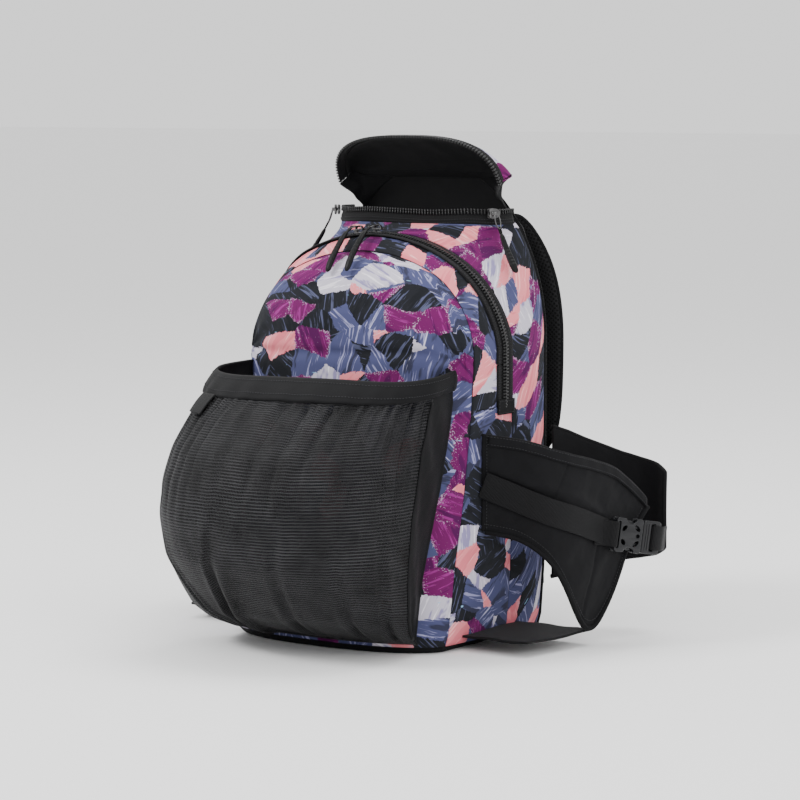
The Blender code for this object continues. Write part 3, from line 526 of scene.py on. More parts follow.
def plate_piece(name, outlines, c0, c1, fr, sign, mat, soft=0.45):
    """Moulded plate: the first outline is the edge, the others are windows; edges rounded by soft mm."""
    curve = bpy.data.curves.new(name, "CURVE")
    curve.dimensions = "2D"
    curve.fill_mode = "BOTH"
    curve.extrude = (c1 - c0) / 2 - soft
    curve.bevel_depth = soft
    curve.bevel_resolution = 2
    curve.offset = -soft
    for line in outlines:
        sp = curve.splines.new("POLY")
        sp.points.add(len(line) - 1)
        for k, (a, b) in enumerate(line):
            sp.points[k].co = (a, b, 0, 1)
        sp.use_cyclic_u = True
    ob = bpy.data.objects.new(name + "_curve", curve)
    bpy.context.scene.collection.objects.link(ob)
    raw = ob.to_mesh()
    co = np.array([v.co[:] for v in raw.vertices])
    faces = [tuple(f.vertices) for f in raw.polygons]
    ob.to_mesh_clear()
    bpy.data.objects.remove(ob)
    p, u, v, w = (np.asarray(k, float) for k in fr)
    co = p + co[:, :1] * u + co[:, 1:2] * v + (co[:, 2:] + (c0 + c1) / 2) * w
    out = mesh_object(name, flip(co, sign), faces, [mat], smooth=False)
    fix_normals(out, weld=True)
    with bpy.context.temp_override(active_object=out, object=out, selected_editable_objects=[out]):
        bpy.ops.object.shade_smooth_by_angle(angle=math.radians(40))
    return out


def round_rect(a0, a1, b0, b1, r, n=6):
    corners = ((a1 - r, b0 + r, -90), (a1 - r, b1 - r, 0), (a0 + r, b1 - r, 90), (a0 + r, b0 + r, 180))
    return corner_arcs(corners, r, n)


def oval(a, b, ra, rb, deg=0.0, n=28):
    t = np.linspace(0, 2 * np.pi, n, endpoint=False)
    c, s = math.cos(math.radians(deg)), math.sin(math.radians(deg))
    x, y = ra * np.cos(t), rb * np.sin(t)
    return list(zip(a + x * c - y * s, b + x * s + y * c))


def pull_piece(name, path, side, body):
    """Zip pull: wire ring on the slider, a short cord through it and a moulded grip."""
    path = smooth_path(path, 0.8, 2)
    seg = arc_length(path)
    side = unit(side)
    t = np.linspace(0, 2 * np.pi, 49)[:-1]
    loop = at_length(path, 8.2 - 7.6 * np.cos(t), seg) + side * (2.7 * np.sin(t))[:, None]
    loop = np.vstack([loop, loop[:2]])
    ring_side = np.cross(side, unit(path[5] - path[0]))
    ring = sweep(name + "_ring", loop, circle(0.65, 9), ring_side, M["gun"], caps=False)
    place(ring, body, "gun", body)
    out = np.cross(side, unit(path[-1] - path[0]))
    s1 = np.linspace(13.5, 27, 20)
    cords = []
    for off in (-1.0, 1.0):
        p = at_length(path, s1, seg) + side * (off * np.clip((27 - s1) / 9, 0.55, 1))[:, None] + out * 0.2
        cords.append(sweep("tmp_cord", p, circle(0.85, 8), side, M["rubber"]))
    s2 = np.linspace(22, seg[-1], 60)
    f = (s2 - 22) / (seg[-1] - 22)
    at = [0, 0.06, 0.2, 0.5, 0.8, 0.93, 0.98, 1]
    hw = np.interp(f, at, [1.6, 2.5, 2.8, 3.3, 3.6, 3.1, 2.2, 0.9])
    ht = np.interp(f, at, [1.2, 1.8, 2.0, 2.3, 2.4, 2.0, 1.4, 0.5])
    groove = 1 - 0.13 * (np.abs(((f - 0.35) / 0.45) % 0.2 - 0.1) < 0.03) * (f > 0.35) * (f < 0.8)
    a = np.linspace(0, 2 * np.pi, 25)[:-1]
    prof = np.stack([hw[:, None] * np.cos(a), (ht * groove)[:, None] * np.sin(a)], 2)
    cords.append(sweep("tmp_grip", at_length(path, s2, seg), prof, side, M["rubber"]))
    place(joined(name + "_grip", cords), body, "rubber")


def slider_piece(name, o, along, out):
    """Metal slider: two shield plates, the bridge between them and a bail over the top."""
    along, out = unit(along), unit(out)
    side = np.cross(out, along)
    fr = (np.asarray(o, float), along, side, out)
    shield = smooth_path([(-5.6, -2.2), (-5.6, 2.2), (-2.5, 4.4), (2.5, 5.1), (5.8, 4.6), (6.2, 2.0), (5.0, 0),
                          (6.2, -2.0), (5.8, -4.6), (2.5, -5.1), (-2.5, -4.4), (-5.6, -2.2)], 0.8, 2)[:-1]
    top = plate_piece("tmp_t", [shield], 1.5, 3.1, fr, 1, M["gun"], 0.35)
    low = plate_piece("tmp_l", [shield], -1.6, -0.2, fr, 1, M["gun"], 0.3)
    post = plate_piece("tmp_p", [round_rect(-5.2, -2.2, -1.4, 1.4, 0.8)], -0.4, 1.8, fr, 1, M["gun"], 0.1)
    t = np.linspace(0, np.pi, 24)
    bail = np.asarray(o) + along * (3.6 * np.cos(t))[:, None] + out * (2.6 + 3.3 * np.sin(t) ** 0.7)[:, None]
    loop = sweep("tmp_b", bail, rounded(1.7, 0.55), side, M["gun"])
    place(joined(name + "_metal", [top, low, post, loop]), name, "gun", name)


def sliders():
    for tag, deg in (("a", -7.2), ("b", -0.4)):
        a = math.radians(deg)
        out = np.array([math.sin(a), 0, math.cos(a)])
        p = np.array((0, ZIP_Y, ZIP_CROWN - CROWN_R)) + out * (CROWN_R + 2.9)
        slider_piece("front_slider_" + tag, p, (math.cos(a), 0, -math.sin(a)), out)
        s = p + out * 5.2
        offs = [(0, 1.0, 0), (0, -5, 0.6), (0, -11, 0.4), (0, -17, -2.0), (0, -24, -7.0), (0, -34.5, -17.0),
                (0, -45.5, -30), (0, -52, -41)]
        pull_name = "front_pull_" + tag
        pull_piece(pull_name, [s + np.array(k) for k in offs], (1, 0, 0), pull_name)
    for tag, sign in (("l", -1), ("r", 1)):
        p, ahead = (rim_point(0.5 + sign * k, RIM_W - 0.8, RIM_D - 0.8, LID_BACK, RIM_Z + 10) for k in (0.36, 0.40))
        tang = unit(ahead - p)
        out = np.array([tang[1], -tang[0], 0]) * sign
        slider_piece("main_slider_" + tag, p + out * 3.6, tang * -1, out)
        s = p + out * 9.0
        drop = unit(np.array([0.85 * sign, -0.3, 0]))
        offs = [(0.2, 0.6), (1.6, -5), (3.6, -11), (7.4, -18), (12.4, -27), (19.6, -38), (27, -48), (32, -55)]
        pull_name = "main_pull_" + tag
        pull_piece(pull_name, [s + drop * k + np.array([0, 0, b]) for k, b in offs], tang, pull_name)


def buckles():
    """Side-release buckles: the socket is sewn to the wing, the clip and its prongs move."""
    p, u, v, w = buckle_axes()
    fr = (p, u, v, w)

    def turned(cx, cy, a0, a1, n, rx=3.4, ry=3.4):
        return [(cx + rx * math.cos(a), cy + ry * math.sin(a)) for a in np.linspace(a0, a1, n)]

    notch = turned(19.5, 17.2, math.pi, 2 * math.pi, 15, 6.6, 6.0)
    edge = ([(34, -13.1), (34, 13.1)] + turned(30.6, 13.1, 0.2, math.pi / 2, 6)
            + [(a, b) for a, b in reversed(notch) if b < 16.5] + turned(5.4, 13.1, math.pi / 2, math.pi, 6))
    edge = edge + [(a, -b) for a, b in reversed(edge[2:])]
    slot = round_rect(3.9, 6.9, -12.8, 12.8, 1.2)
    windows = [oval(11.8, 6.6, 3.4, 2.0, 38), oval(11.8, -6.6, 3.4, 2.0, -38),
               oval(27.2, 7.4, 4.0, 1.9, -36), oval(27.2, -7.4, 4.0, 1.9, 36), oval(28.5, 0, 2.4, 1.7)]
    hold = smooth_path([(1.5, -1.6), (2.8, -2.0), (5.4, 2.0), (5.6, 8.0), (3.6, 10.4), (0.4, 8.6), (-3.5, 3.6),
                        (-9, 1.6), (-16, 1.2)], 0.8, 2)
    hold = np.array([p + u * a + w * c for a, c in hold])
    arm = smooth_path([(36, 6.0), (36, 9.4), (30, 9.8), (25.5, 11.4), (21, 14.2), (16.5, 14.0), (13.6, 11.4),
                       (14.6, 9.0), (20, 8.6), (25, 7.2), (30, 6.3), (36, 6.0)], 0.9, 2)[:-1]
    for tag, sign in (("l", -1), ("r", 1)):
        def plate(name, outlines, c0, c1, soft):
            return plate_piece(name, outlines, c0, c1, fr, sign, M["plastic"], soft)

        shell = [plate("tmp_t", [edge, slot] + windows, 6.6, 9.6, 0.7),
                 plate("tmp_l", [edge, slot], 0.3, 2.8, 0.6),
                 plate("tmp_c", [round_rect(7.4, 11.2, -14.6, 14.6, 1.4)], 2.0, 7.4, 0.4),
                 plate("tmp_b", [round_rect(2.2, 3.9, -14, 14, 0.8)], 2.0, 7.4, 0.3)]
        shell += [plate("tmp_r", [round_rect(26.5, 33.2, b0, b1, 1.0)], 2.0, 7.4, 0.3)
                  for b0, b1 in ((-15.6, -12.4), (12.4, 15.6))]
        place(joined("buckle_socket_shell_" + tag, shell), "bag", "plastic", "buckle_socket_" + tag)
        tail = [round_rect(35.2, 56.4, -15.8, 15.8, 3.6), round_rect(44.6, 49.4, -12.9, 12.9, 1.4)]
        clip = [plate("tmp_m", tail, 1.2, 8.6, 1.0),
                plate("tmp_g", [round_rect(14, 38, -2.3, 2.3, 1.0)], 3.4, 6.4, 0.5)]
        clip += [plate("tmp_rib", [round_rect(a, a + 1.3, -12.5, 12.5, 0.6)], 8.0, 9.2, 0.3)
                 for a in (38.4, 41.2, 52.0)]
        place(joined("buckle_clip_shell_" + tag, clip), "clip_" + tag, "plastic", "buckle_clip_" + tag)
        for name, sb in (("prong_lower_" + tag, -1), ("prong_upper_" + tag, 1)):
            ob = plate(name + "_shell", [[(a, b * sb) for a, b in arm]], 2.9, 6.9, 0.6)
            place(ob, name, "plastic", "buckle_" + name)
        webbing("buckle_web_end_" + tag, flip(hold, sign), flip(v, sign), "bag", [], WEB - 0.8, 1.5, 0.9)


def place(ob, body, key, *nodes):
    """Rides a finished piece on a body and hides the CAD solids it stands for; key, the name of its finish, is not
    used.
    """
    if body is not None:
        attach(ob, body)
    if nodes:
        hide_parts(*nodes)
    return ob


def panel(name, body, key, grid, thick, away, *nodes, **kw):
    """Cloth of one finish, lined where it is printed, that rides on a body and stands for CAD solids."""
    inner = M["lining"] if key == "print" else None
    return place(cloth(name, grid, thick, away, M[key], inner, **kw), body, key, *nodes)


# ================================================================ shared shapes
def taper(z):
    return np.interp(z, [-12, 4, 50, 110], [0.93, 0.965, 0.99, 1.0])


def arch(w, crown, z0, n_crown=24, n_shoulder=14, n_straight=40):
    a = math.radians(CROWN_DEG)
    r2 = (w - CROWN_R * math.sin(a)) / (1 - math.sin(a))
    c1 = crown - CROWN_R
    cx, cz = w - r2, c1 + (CROWN_R - r2) * math.cos(a)
    q = a * np.arange(n_crown // 2 + 1) / (n_crown // 2)
    half = [np.stack([CROWN_R * np.sin(q), c1 + CROWN_R * np.cos(q)], 1)]
    q = a + (math.pi / 2 - a) * np.arange(1, n_shoulder + 1) / n_shoulder
    half.append(np.stack([cx + r2 * np.sin(q), cz + r2 * np.cos(q)], 1))
    z = cz + (z0 - cz) * np.arange(1, n_straight + 1) / n_straight
    half.append(np.stack([w * taper(z), z], 1))
    half = np.vstack(half)
    left = half[::-1].copy()
    left[:, 0] *= -1
    return np.vstack([left[:-1], half])


def arch_width(z, w, crown):
    a = math.radians(CROWN_DEG)
    r2 = (w - CROWN_R * math.sin(a)) / (1 - math.sin(a))
    c1 = crown - CROWN_R
    cx, cz = w - r2, c1 + (CROWN_R - r2) * math.cos(a)
    z = np.asarray(z, float)
    low = w * taper(z)
    mid = cx + np.sqrt(np.maximum(r2 * r2 - (z - cz) ** 2, 0))
    top = np.sqrt(np.maximum(CROWN_R ** 2 - (z - c1) ** 2, 0))
    return np.where(z <= cz, low, np.where(z < cz + r2 * math.cos(a), mid, top))


def y_seam(z):
    return np.interp(z, [-12, 60, 130, 200, 260, 320, 355], [-50, -45, -31, -19, -14, -12, -10])


def y_zip(z, base):
    return base + 20.0 * np.clip((352.0 - np.asarray(z)) / 82.0, 0, 1)


def front_y(x, z, w):
    rise = np.interp(z, [0, 40, 150, 252, 300, 330, 345, 355], [42, 44, 40, 36, 32, 24, 13, 0])
    f = np.maximum(0.0, 1.0 - np.abs(x / np.maximum(w, 1e-6)) ** 2.6)
    return y_seam(z) - rise * f ** 0.62


def back_width(z):
    z = np.asarray(z, float)
    q = np.clip((z - 270.0) / 170.0, 0, 1)
    return (BODY_W - 1) * taper(z) * np.sqrt(1 - q ** 2)


def rim_point(q, w, d, y_back, z):
    ang = math.pi * (1 - np.asarray(q, float))
    c, s = np.cos(ang), np.sin(ang)
    e = 2 / 2.8
    x = w * np.sign(c) * np.abs(c) ** e
    y = y_back - d * np.abs(s) ** e
    return np.stack([x, y, np.full_like(x, z)], -1)


def turn_lid(p):
    a = math.radians(LID_OPEN)
    p = np.asarray(p, float)
    y, z = p[..., 1] - LID_AXIS[0], p[..., 2] - LID_AXIS[1]
    return np.stack([p[..., 0], LID_AXIS[0] + y * math.cos(a) + z * math.sin(a),
                     LID_AXIS[1] - y * math.sin(a) + z * math.cos(a)], -1)


def lid_surface(q, r):
    """Closed lid: q runs along the zip from one end to the other, r from the zip up to the hinge."""
    low = rim_point(q, LID_W, LID_D, LID_BACK, LID_LOW)
    top = np.stack([(2 * q - 1) * LID_HALF, np.full_like(q, LID_BACK + 1.5), np.full_like(q, LID_HIGH)], -1)
    a = np.radians(90 * r)
    h = (1 - np.cos(a))[..., None]
    p = low + (top - low) * h
    p[..., 2] = LID_LOW + (LID_HIGH - LID_LOW) * np.sin(a) - 7.0 * np.abs(2 * q - 1) ** 5 * h[..., 0]
    return p


# ================================================================ printed body
BODY_MID = (0, 70, 180)


def front_cloth():
    """Front panel and fold-down flap as one pillowed sheet, rolled into its seam."""
    rows = np.r_[np.linspace(FOOT, 252, 92), np.linspace(254, SEAM_CROWN + 1.6, 56)]
    t = np.sin(np.linspace(-math.pi / 2, math.pi / 2, 118))
    w = arch_width(rows, BODY_W - 0.9, SEAM_CROWN + 2.0)[:, None]
    x = w * t[None, :]
    z = np.broadcast_to(rows[:, None], x.shape)
    y = front_y(x, z, w)
    edge = np.clip(1 - np.abs(t[None, :]), 0, 1)
    inside = np.clip(edge * 7, 0, 1) * np.clip((SEAM_CROWN - z) / 14, 0, 1)
    relief = 1.1 * waves(x, z, 11, 8, 1.0, 0.35) * inside
    pinch = bump_line(np.hypot(np.abs(x) - 122, z - FOLD_Z), 30)
    relief += 1.7 * np.sin(np.arctan2(z - FOLD_Z, np.abs(x) - 124) * 9) * pinch
    relief -= 2.4 * bump_line(z - FOLD_Z - 0.03 * x, 5.0) * np.clip(edge * 4, 0, 1)
    y = y - relief
    roll = 2.4 * bump_line(w - np.abs(x), 1.6) + 1.8 * bump_line(z - SEAM_CROWN - 1.6, 1.4)
    grid = np.stack([x, y + roll, z], -1)
    ob = cloth("front_cloth", grid, 1.5, (0, 400, 140), M["print"], M["lining"])
    ob = place(ob, None, "print", "front_panel", "front_flap")
    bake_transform(ob)


def strip_between(a, b, cols, swell=0.0):
    t = np.linspace(0, 1, cols)[None, :, None]
    grid = a[:, None, :] * (1 - t) + b[:, None, :] * t
    if swell:
        centre = np.array([0, 40, 180.0])
        out = grid - centre
        out[..., 1] = 0
        grid = grid + unit(out) * swell * np.sin(np.pi * t)
    return grid


def gusset_cloth():
    a2 = arch(BODY_W - 0.4, SEAM_CROWN + 2.6, ZIP_END)
    b2 = arch(BODY_W - 0.3, ZIP_CROWN - 1.7, ZIP_END)
    a = np.stack([a2[:, 0], y_seam(a2[:, 1]) + 0.4, a2[:, 1]], 1)
    b = np.stack([b2[:, 0], y_zip(b2[:, 1], 5.8), b2[:, 1]], 1)
    grid = strip_between(a, b, 18, 1.6)
    ripple = 0.5 * waves(grid[..., 2], grid[..., 1], 5) * np.clip(np.abs(grid[..., 0]) / 40 - 1, 0, 1)
    grid[..., 0] += ripple * np.sign(grid[..., 0])
    uv = grid_uv(grid)
    ob = panel("flap_gusset_cloth", None, "print", grid, 1.5, (0, 10, 200), "flap_gusset",
               uv=uv + np.array([260, 90]), edge=1)
    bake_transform(ob)
    # binding tape sewn over the seam allowance inside the flap
    c2 = arch(BODY_W - 3.2, SEAM_CROWN - 0.6, ZIP_END)
    path = np.stack([c2[:, 0], y_seam(c2[:, 1]) + 2.4, c2[:, 1]], 1)
    d2 = arch(BODY_W - 1.2, SEAM_CROWN + 1.6, ZIP_END)
    rim = np.stack([d2[:, 0], y_seam(d2[:, 1]) + 5.5, d2[:, 1]], 1)
    e2 = arch(BODY_W - 8.0, SEAM_CROWN - 5.6, ZIP_END)
    width = arch_width(e2[:, 1], BODY_W - 0.9, SEAM_CROWN + 2.0)
    inner = np.stack([e2[:, 0], front_y(e2[:, 0], e2[:, 1], width) + 4.2, e2[:, 1]], 1)
    ob = panel("flap_seam_binding", None, "black", np.stack([rim, path, inner], 1), 0.8, (0, 120, 200))
    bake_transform(ob)
    end = uv[-1, 9, 1]
    for tag, sign in (("l", -1), ("r", 1)):
        z = np.linspace(FOOT, ZIP_END + 0.4, 74)
        a = np.stack([sign * (BODY_W - 0.4) * taper(z), y_seam(z) + 0.4, z], 1)
        b = np.stack([sign * BODY_W * taper(z), np.full_like(z, 49.8), z], 1)
        grid = strip_between(a, b, 34, 0.0)
        y, zz = grid[..., 1], grid[..., 2]
        edge = np.sin(np.linspace(0, np.pi, 34))[None, :] ** 0.5
        calm = np.clip((ZIP_END + 0.4 - zz) / 26, 0, 1)
        grid[..., 0] += sign * edge * ((1.8 + 1.1 * waves(y, zz, 21 + sign, 7, 1.0, 0.3)) * calm + 0.9)
        uv2 = np.stack([y - 2.5 + 260, sign * (end + ZIP_END - zz) + 90], -1)
        panel("front_gusset_cloth_" + tag, "bag", "print", grid, 1.5, (0, 10, 100), "front_gusset_" + tag, uv=uv2)
        yy, zz = np.meshgrid(np.linspace(22.5, 50.5, 16), np.linspace(205.0, 219.0, 9))
        grid = np.stack([np.full_like(yy, sign * (BODY_W + 3.1)), yy, zz], -1)
        panel("zip_end_patch_" + tag, "bag", "black", grid, 1.2, (0, 36, 212))
        corners = ((24.2, 206.4), (24.2, 217.4), (48.8, 217.4), (48.8, 206.4), (24.2, 206.4))
        rim = [(sign * (BODY_W + 3.2), a, b) for a, b in corners]
        place(stitch_row("zip_end_stitches_" + tag, rim, (sign, 0, 0)), "bag", "thread")


def body_cloth():
    """Side panels and the top panel under the main zip, one continuous sheet."""
    nc, ns, nst = 48, 20, 60
    a2 = arch(BODY_W + 0.3, ZIP_CROWN + 2.0, FOOT, nc, ns, nst)
    a = np.stack([a2[:, 0], y_zip(a2[:, 1], 29.6), a2[:, 1]], 1)
    n = len(a)
    half = a[n // 2:]
    b = np.zeros_like(half)
    k = np.arange(len(half))
    c0 = nc // 2
    q = 0.5 + 0.5 * k[:c0 + 1] / c0
    b[:c0 + 1] = rim_point(q, RIM_W, RIM_D, BACK_Y, RIM_Z)
    for i in range(c0 + 1, c0 + ns + 1):
        f = (i - c0) / ns
        z = RIM_Z + (half[c0 + ns, 2] - RIM_Z) * f ** 1.1
        b[i] = (back_width(z), BACK_Y, z)
    rest = half[c0 + ns + 1:]
    b[c0 + ns + 1:] = np.stack([(BODY_W - 1) * taper(rest[:, 2]), np.full(len(rest), BACK_Y), rest[:, 2]], 1)
    left = b[::-1].copy()
    left[:, 0] *= -1
    b = np.vstack([left[:-1], b])
    cols = 30
    grid = strip_between(a, b, cols)
    t = np.linspace(0, 1, cols)[None, :]
    n_out = outward(grid, BODY_MID)
    for _ in range(4):
        core = grid[1:-1, 1:-1]
        avg = (grid[2:, 1:-1] + grid[:-2, 1:-1] + grid[1:-1, 2:] + grid[1:-1, :-2]) / 4
        grid[1:-1, 1:-1] = core * 0.5 + avg * 0.5
    side = np.clip((385 - grid[..., 2]) / 30, 0, 1)
    swell = 3.4 * np.sin(np.pi * t) * (0.35 + 0.65 * np.clip((345 - grid[..., 2]) / 60, 0, 1))
    u, v = grid[..., 1], grid[..., 2] + 0.3 * grid[..., 0]
    ripple = 1.7 * waves(u, v, 33, 8, 1.0, 0.4) * np.sin(np.pi * t) ** 0.6
    sag = 1.6 * np.sin((grid[..., 2] - 300) / 9.0 + grid[..., 1] / 14.0)
    sag = sag * bump_line(grid[..., 2] - 318, 34) * np.sin(np.pi * t)
    grid = grid + n_out * (swell + ripple + sag * side)[..., None]
    panel("body_cloth", "bag", "print", grid, 1.5, BODY_MID, "side_panel_l", "side_panel_r", "top_panel",
          offset=(-420, 200))


# ================================================================ zips
def arch_frame(w, crown, base_y, z0, n_straight=24):
    a2 = arch(w, crown, z0, 60, 30, n_straight)
    line = np.stack([a2[:, 0], y_zip(a2[:, 1], base_y), a2[:, 1]], 1)
    t = unit(np.gradient(line, axis=0))
    across = unit(np.array([0, 1.0, 0]) - t * t[:, 1:2])
    return line, across, facing(np.cross(across, t), line - np.array([0, 30, 190.0]))


def zip_half(name, line, across, out, body, nodes, width, shift=0.0, phase=0.0):
    """Tape plus moulded teeth along its edge; the tape runs back from the line by width."""
    line, across, out = (np.asarray(k, float) for k in (line, across, out))
    across, out = unit(across), unit(out)
    grid = np.stack([line - across * w + out * h for w, h in
                     ((0.4, 0.9), (2.5, 0.8), (4.6, 0.35), (8.0, 0.9), (width, 0.9), (width + 1.4, 0.1))], 1)
    tape = cloth("tmp_tape", grid, 0.9, np.mean(line, axis=0) - np.mean(out, axis=0) * 200, M["tape"])
    tape.name = name + "_tape"
    both = resample(np.hstack([line, across, out]), TOOTH)
    p, v, n = both[:, :3], unit(both[:, 3:6]), unit(both[:, 6:9])
    if phase:
        p, v, n = ((k[:-1] + k[1:]) / 2 for k in (p, v, n))
    t = unit(np.gradient(p, axis=0))
    head = blocks("tmp_a", p + v * (shift - 1.0) + n * 1.5, t, v, n, (1.75, 2.6, 2.7), M["teeth"], 0.3)
    leg = blocks("tmp_b", p + v * (shift - 3.3) + n * 1.35, t, v, n, (1.25, 3.4, 2.2), M["teeth"], 0.3)
    teeth = joined(name + "_teeth", [head, leg])
    place(tape, body, "tape", *nodes)
    place(teeth, body, "teeth")
    seam = [stitch_row("tmp_s%d" % k, line - across * w + out * 0.9, out, 2.6, 1.6, 0.45)
            for k, w in enumerate((width - 0.8, width - 3.6))]
    place(joined(name + "_stitches", seam), body, "thread")


def front_zip():
    w, c = BODY_W + 0.5, ZIP_CROWN
    line, v, n = arch_frame(w, c, ZIP_Y, FLAP_Z + 0.5)
    zip_half("front_zip_flap", line - np.array([0, 0.4, 0]), v, n, "front_flap", ["front_zip_flap_side"], 11.0, 0.9)
    line, v, n = arch_frame(w, c, ZIP_Y, ZIP_END, 40)
    zip_half("front_zip_body", line + np.array([0, 0.4, 0]), -v, n, "bag", ["front_zip_body_side"], 13.0, 0.9, 0.5)
    for tag, sign in (("l", -1), ("r", 1)):
        z = np.linspace(ZIP_END, FLAP_Z - 0.5, 14)
        line = np.stack([np.full_like(z, w * sign), y_zip(z, ZIP_Y) - 0.4, z], 1)
        v = np.tile((0, 1.0, 0), (14, 1))
        n = np.tile((sign, 0, 0), (14, 1))
        zip_half("front_zip_foot_cloth_" + tag, line, v, n, "bag", ["front_zip_foot_" + tag], 11.0, 0.9)


def main_zip():
    q = 0.004 + 0.992 * np.linspace(0, 1, 140)
    low = rim_point(q, RIM_W - 0.4, RIM_D - 0.4, LID_BACK, RIM_Z + 0.2)
    top = rim_point(q, LID_W, LID_D, LID_BACK, RIM_Z + 13.4)
    sag = 1.6 * np.sin(q * 19.0) * np.sin(np.pi * q)
    top[:, 2] += sag * 0.5
    across = unit(top - low)
    t = unit(np.gradient(top, axis=0))
    out = facing(np.cross(across, t), top - np.array([0, BACK_Y, RIM_Z]))
    zip_half("main_zip_body", top, across, out, "bag", ["main_zip_body_side"], 13.4)
    low = turn_lid(lid_surface(q, np.zeros_like(q)))
    up = turn_lid(lid_surface(q, np.full_like(q, 0.235)))
    across = unit(low - up)
    t = unit(np.gradient(low, axis=0))
    out = facing(np.cross(across, t), low - turn_lid(LID_CENTRE))
    zip_half("main_zip_lid", low, across, out, "lid", ["main_zip_lid_side"], 12.2)


def lid():
    q = np.linspace(0, 1, 96)[:, None] * np.ones((1, 34))
    line = 0.225 + 0.775 * np.linspace(0, 1, 34)
    r = line[None, :] * np.ones((96, 1))
    closed = lid_surface(q, r)
    n = outward(closed, (0, LID_BACK - 10, LID_LOW - 20))
    u = grid_uv(closed)
    relief = 1.3 * waves(u[..., 0], u[..., 1], 44, 7, 1.0, 0.35) + 1.2
    relief = relief * np.sin(np.pi * np.linspace(0, 1, 34))[None, :] ** 0.7
    relief = relief * np.sin(np.pi * np.clip(q, 0.02, 0.98)) ** 0.3
    closed = closed + n * relief[..., None]
    bulge = 7.0 * np.sin(np.pi * (r - line[0]) / (1 - line[0]))
    closed[..., 0] += np.sign(2 * q - 1) * bulge * np.abs(2 * q - 1) ** 2
    grid = turn_lid(closed)
    centre = turn_lid(LID_CENTRE)
    panel("lid_cloth", "lid", "print", grid, 1.8, centre, "lid", offset=(150, -260), edge=1)
    # black web that closes the lid against the back: up one side, along the hinge, down the other
    n_side, n_top = 26, 60
    za = np.linspace(393.0, 425.0, n_side)
    xa = back_width(za) - 3.0
    side_low = np.stack([-xa, np.full(n_side, 113.6), za], 1)
    xt = np.linspace(-xa[-1], xa[-1], n_top)[1:-1]
    top_low = np.stack([xt, np.full(n_top - 2, 113.6), np.full(n_top - 2, 424.6)], 1)
    low = np.vstack([side_low, top_low, flip(side_low[::-1], -1)])
    rr = np.linspace(0.0, 1.0, n_side)
    start = turn_lid(lid_surface(np.zeros(n_side), rr))
    seam = np.stack([np.interp(rr, line, grid[0, :, k]) for k in range(3)], 1)
    side_up = np.where(rr[:, None] < line[0], start, seam)
    qt = np.linspace(0, 1, n_top)[1:-1]
    top_up = np.stack([np.interp(qt, q[:, 0], grid[:, -1, k]) for k in range(3)], 1)
    up = np.vstack([side_up, top_up, flip(side_up[::-1], -1)])
    up = up + (centre - up) / np.linalg.norm(centre - up, axis=1)[:, None] * 1.3
    s = np.linspace(0, 1, 16)[None, :, None]
    g2 = low[:, None] * (1 - s) + up[:, None] * s
    depth = np.r_[np.linspace(1, 0.1, n_side), np.full(n_top - 2, 0.1), np.linspace(0.1, 1, n_side)][:, None]
    fold = np.sin(np.pi * s[..., 0]) * depth
    g2[..., 0] -= np.sign(g2[..., 0]) * (4.0 * fold + 1.2 * np.sin(s[..., 0] * 11) * fold)
    g2 = np.concatenate([2.4 * g2[:1] - 1.4 * g2[1:2], g2, 2.4 * g2[-1:] - 1.4 * g2[-2:-1]])
    g2 = np.concatenate([g2, g2[:, -1:] + 2.0 * unit(g2[:, -1:] - g2[:, -2:-1])], axis=1)
    ob = panel("lid_web", None, "black", g2, 1.2, (0, 60, 400))
    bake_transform(ob)


# ================================================================ helmet net
NET_MID = (0, -40, 120)
NET_SIDE = 0.866            # where the mesh front ends and the stretch gusset begins


def net_depth(z):
    return np.interp(z, [-3, 3, 12, 26, 50, 80, 120, 150, 180, 210, 240, 252],
                     [1, 34, 66, 96, 122, 154, 176, 178, 171, 146, 108, 94])


def net_half(z):
    return np.interp(z, [-3, 12, 30, 50, 80, 150, 200, 240, 252], [112, 119, 126, 130, 134, 136, 132, 126, 124])


def net_points(u, z, extra=0.0):
    e = 2 / 2.7
    a = u * math.pi / 2
    half = net_half(z) + extra
    edge_x = np.interp(z, [-3, 60, 150, 252], [104, 109, 115, 119])
    w = arch_width(z, BODY_W - 3, SEAM_CROWN)
    edge_y = front_y(edge_x, z, w) - 3.4
    s, c = np.abs(np.sin(a)) ** e, np.abs(np.cos(a)) ** e
    mixed = np.abs(u) ** 8
    x = np.sign(u) * s * (half * (1 - mixed) + edge_x * mixed)
    centre_y = front_y(0 * z, z, w)
    y = edge_y + np.minimum(centre_y + 40 - edge_y, 0) * (1 - u ** 2) - (net_depth(z) + extra) * c
    y = np.minimum(y, front_y(np.minimum(np.abs(x), w), z, w) - 3.4 - extra)
    return np.stack([x, y, z], -1)


def smooth_rows(grid, rounds):
    for _ in range(rounds):
        grid[1:-1] = grid[1:-1] * 0.5 + (grid[2:] + grid[:-2]) * 0.25
    return grid


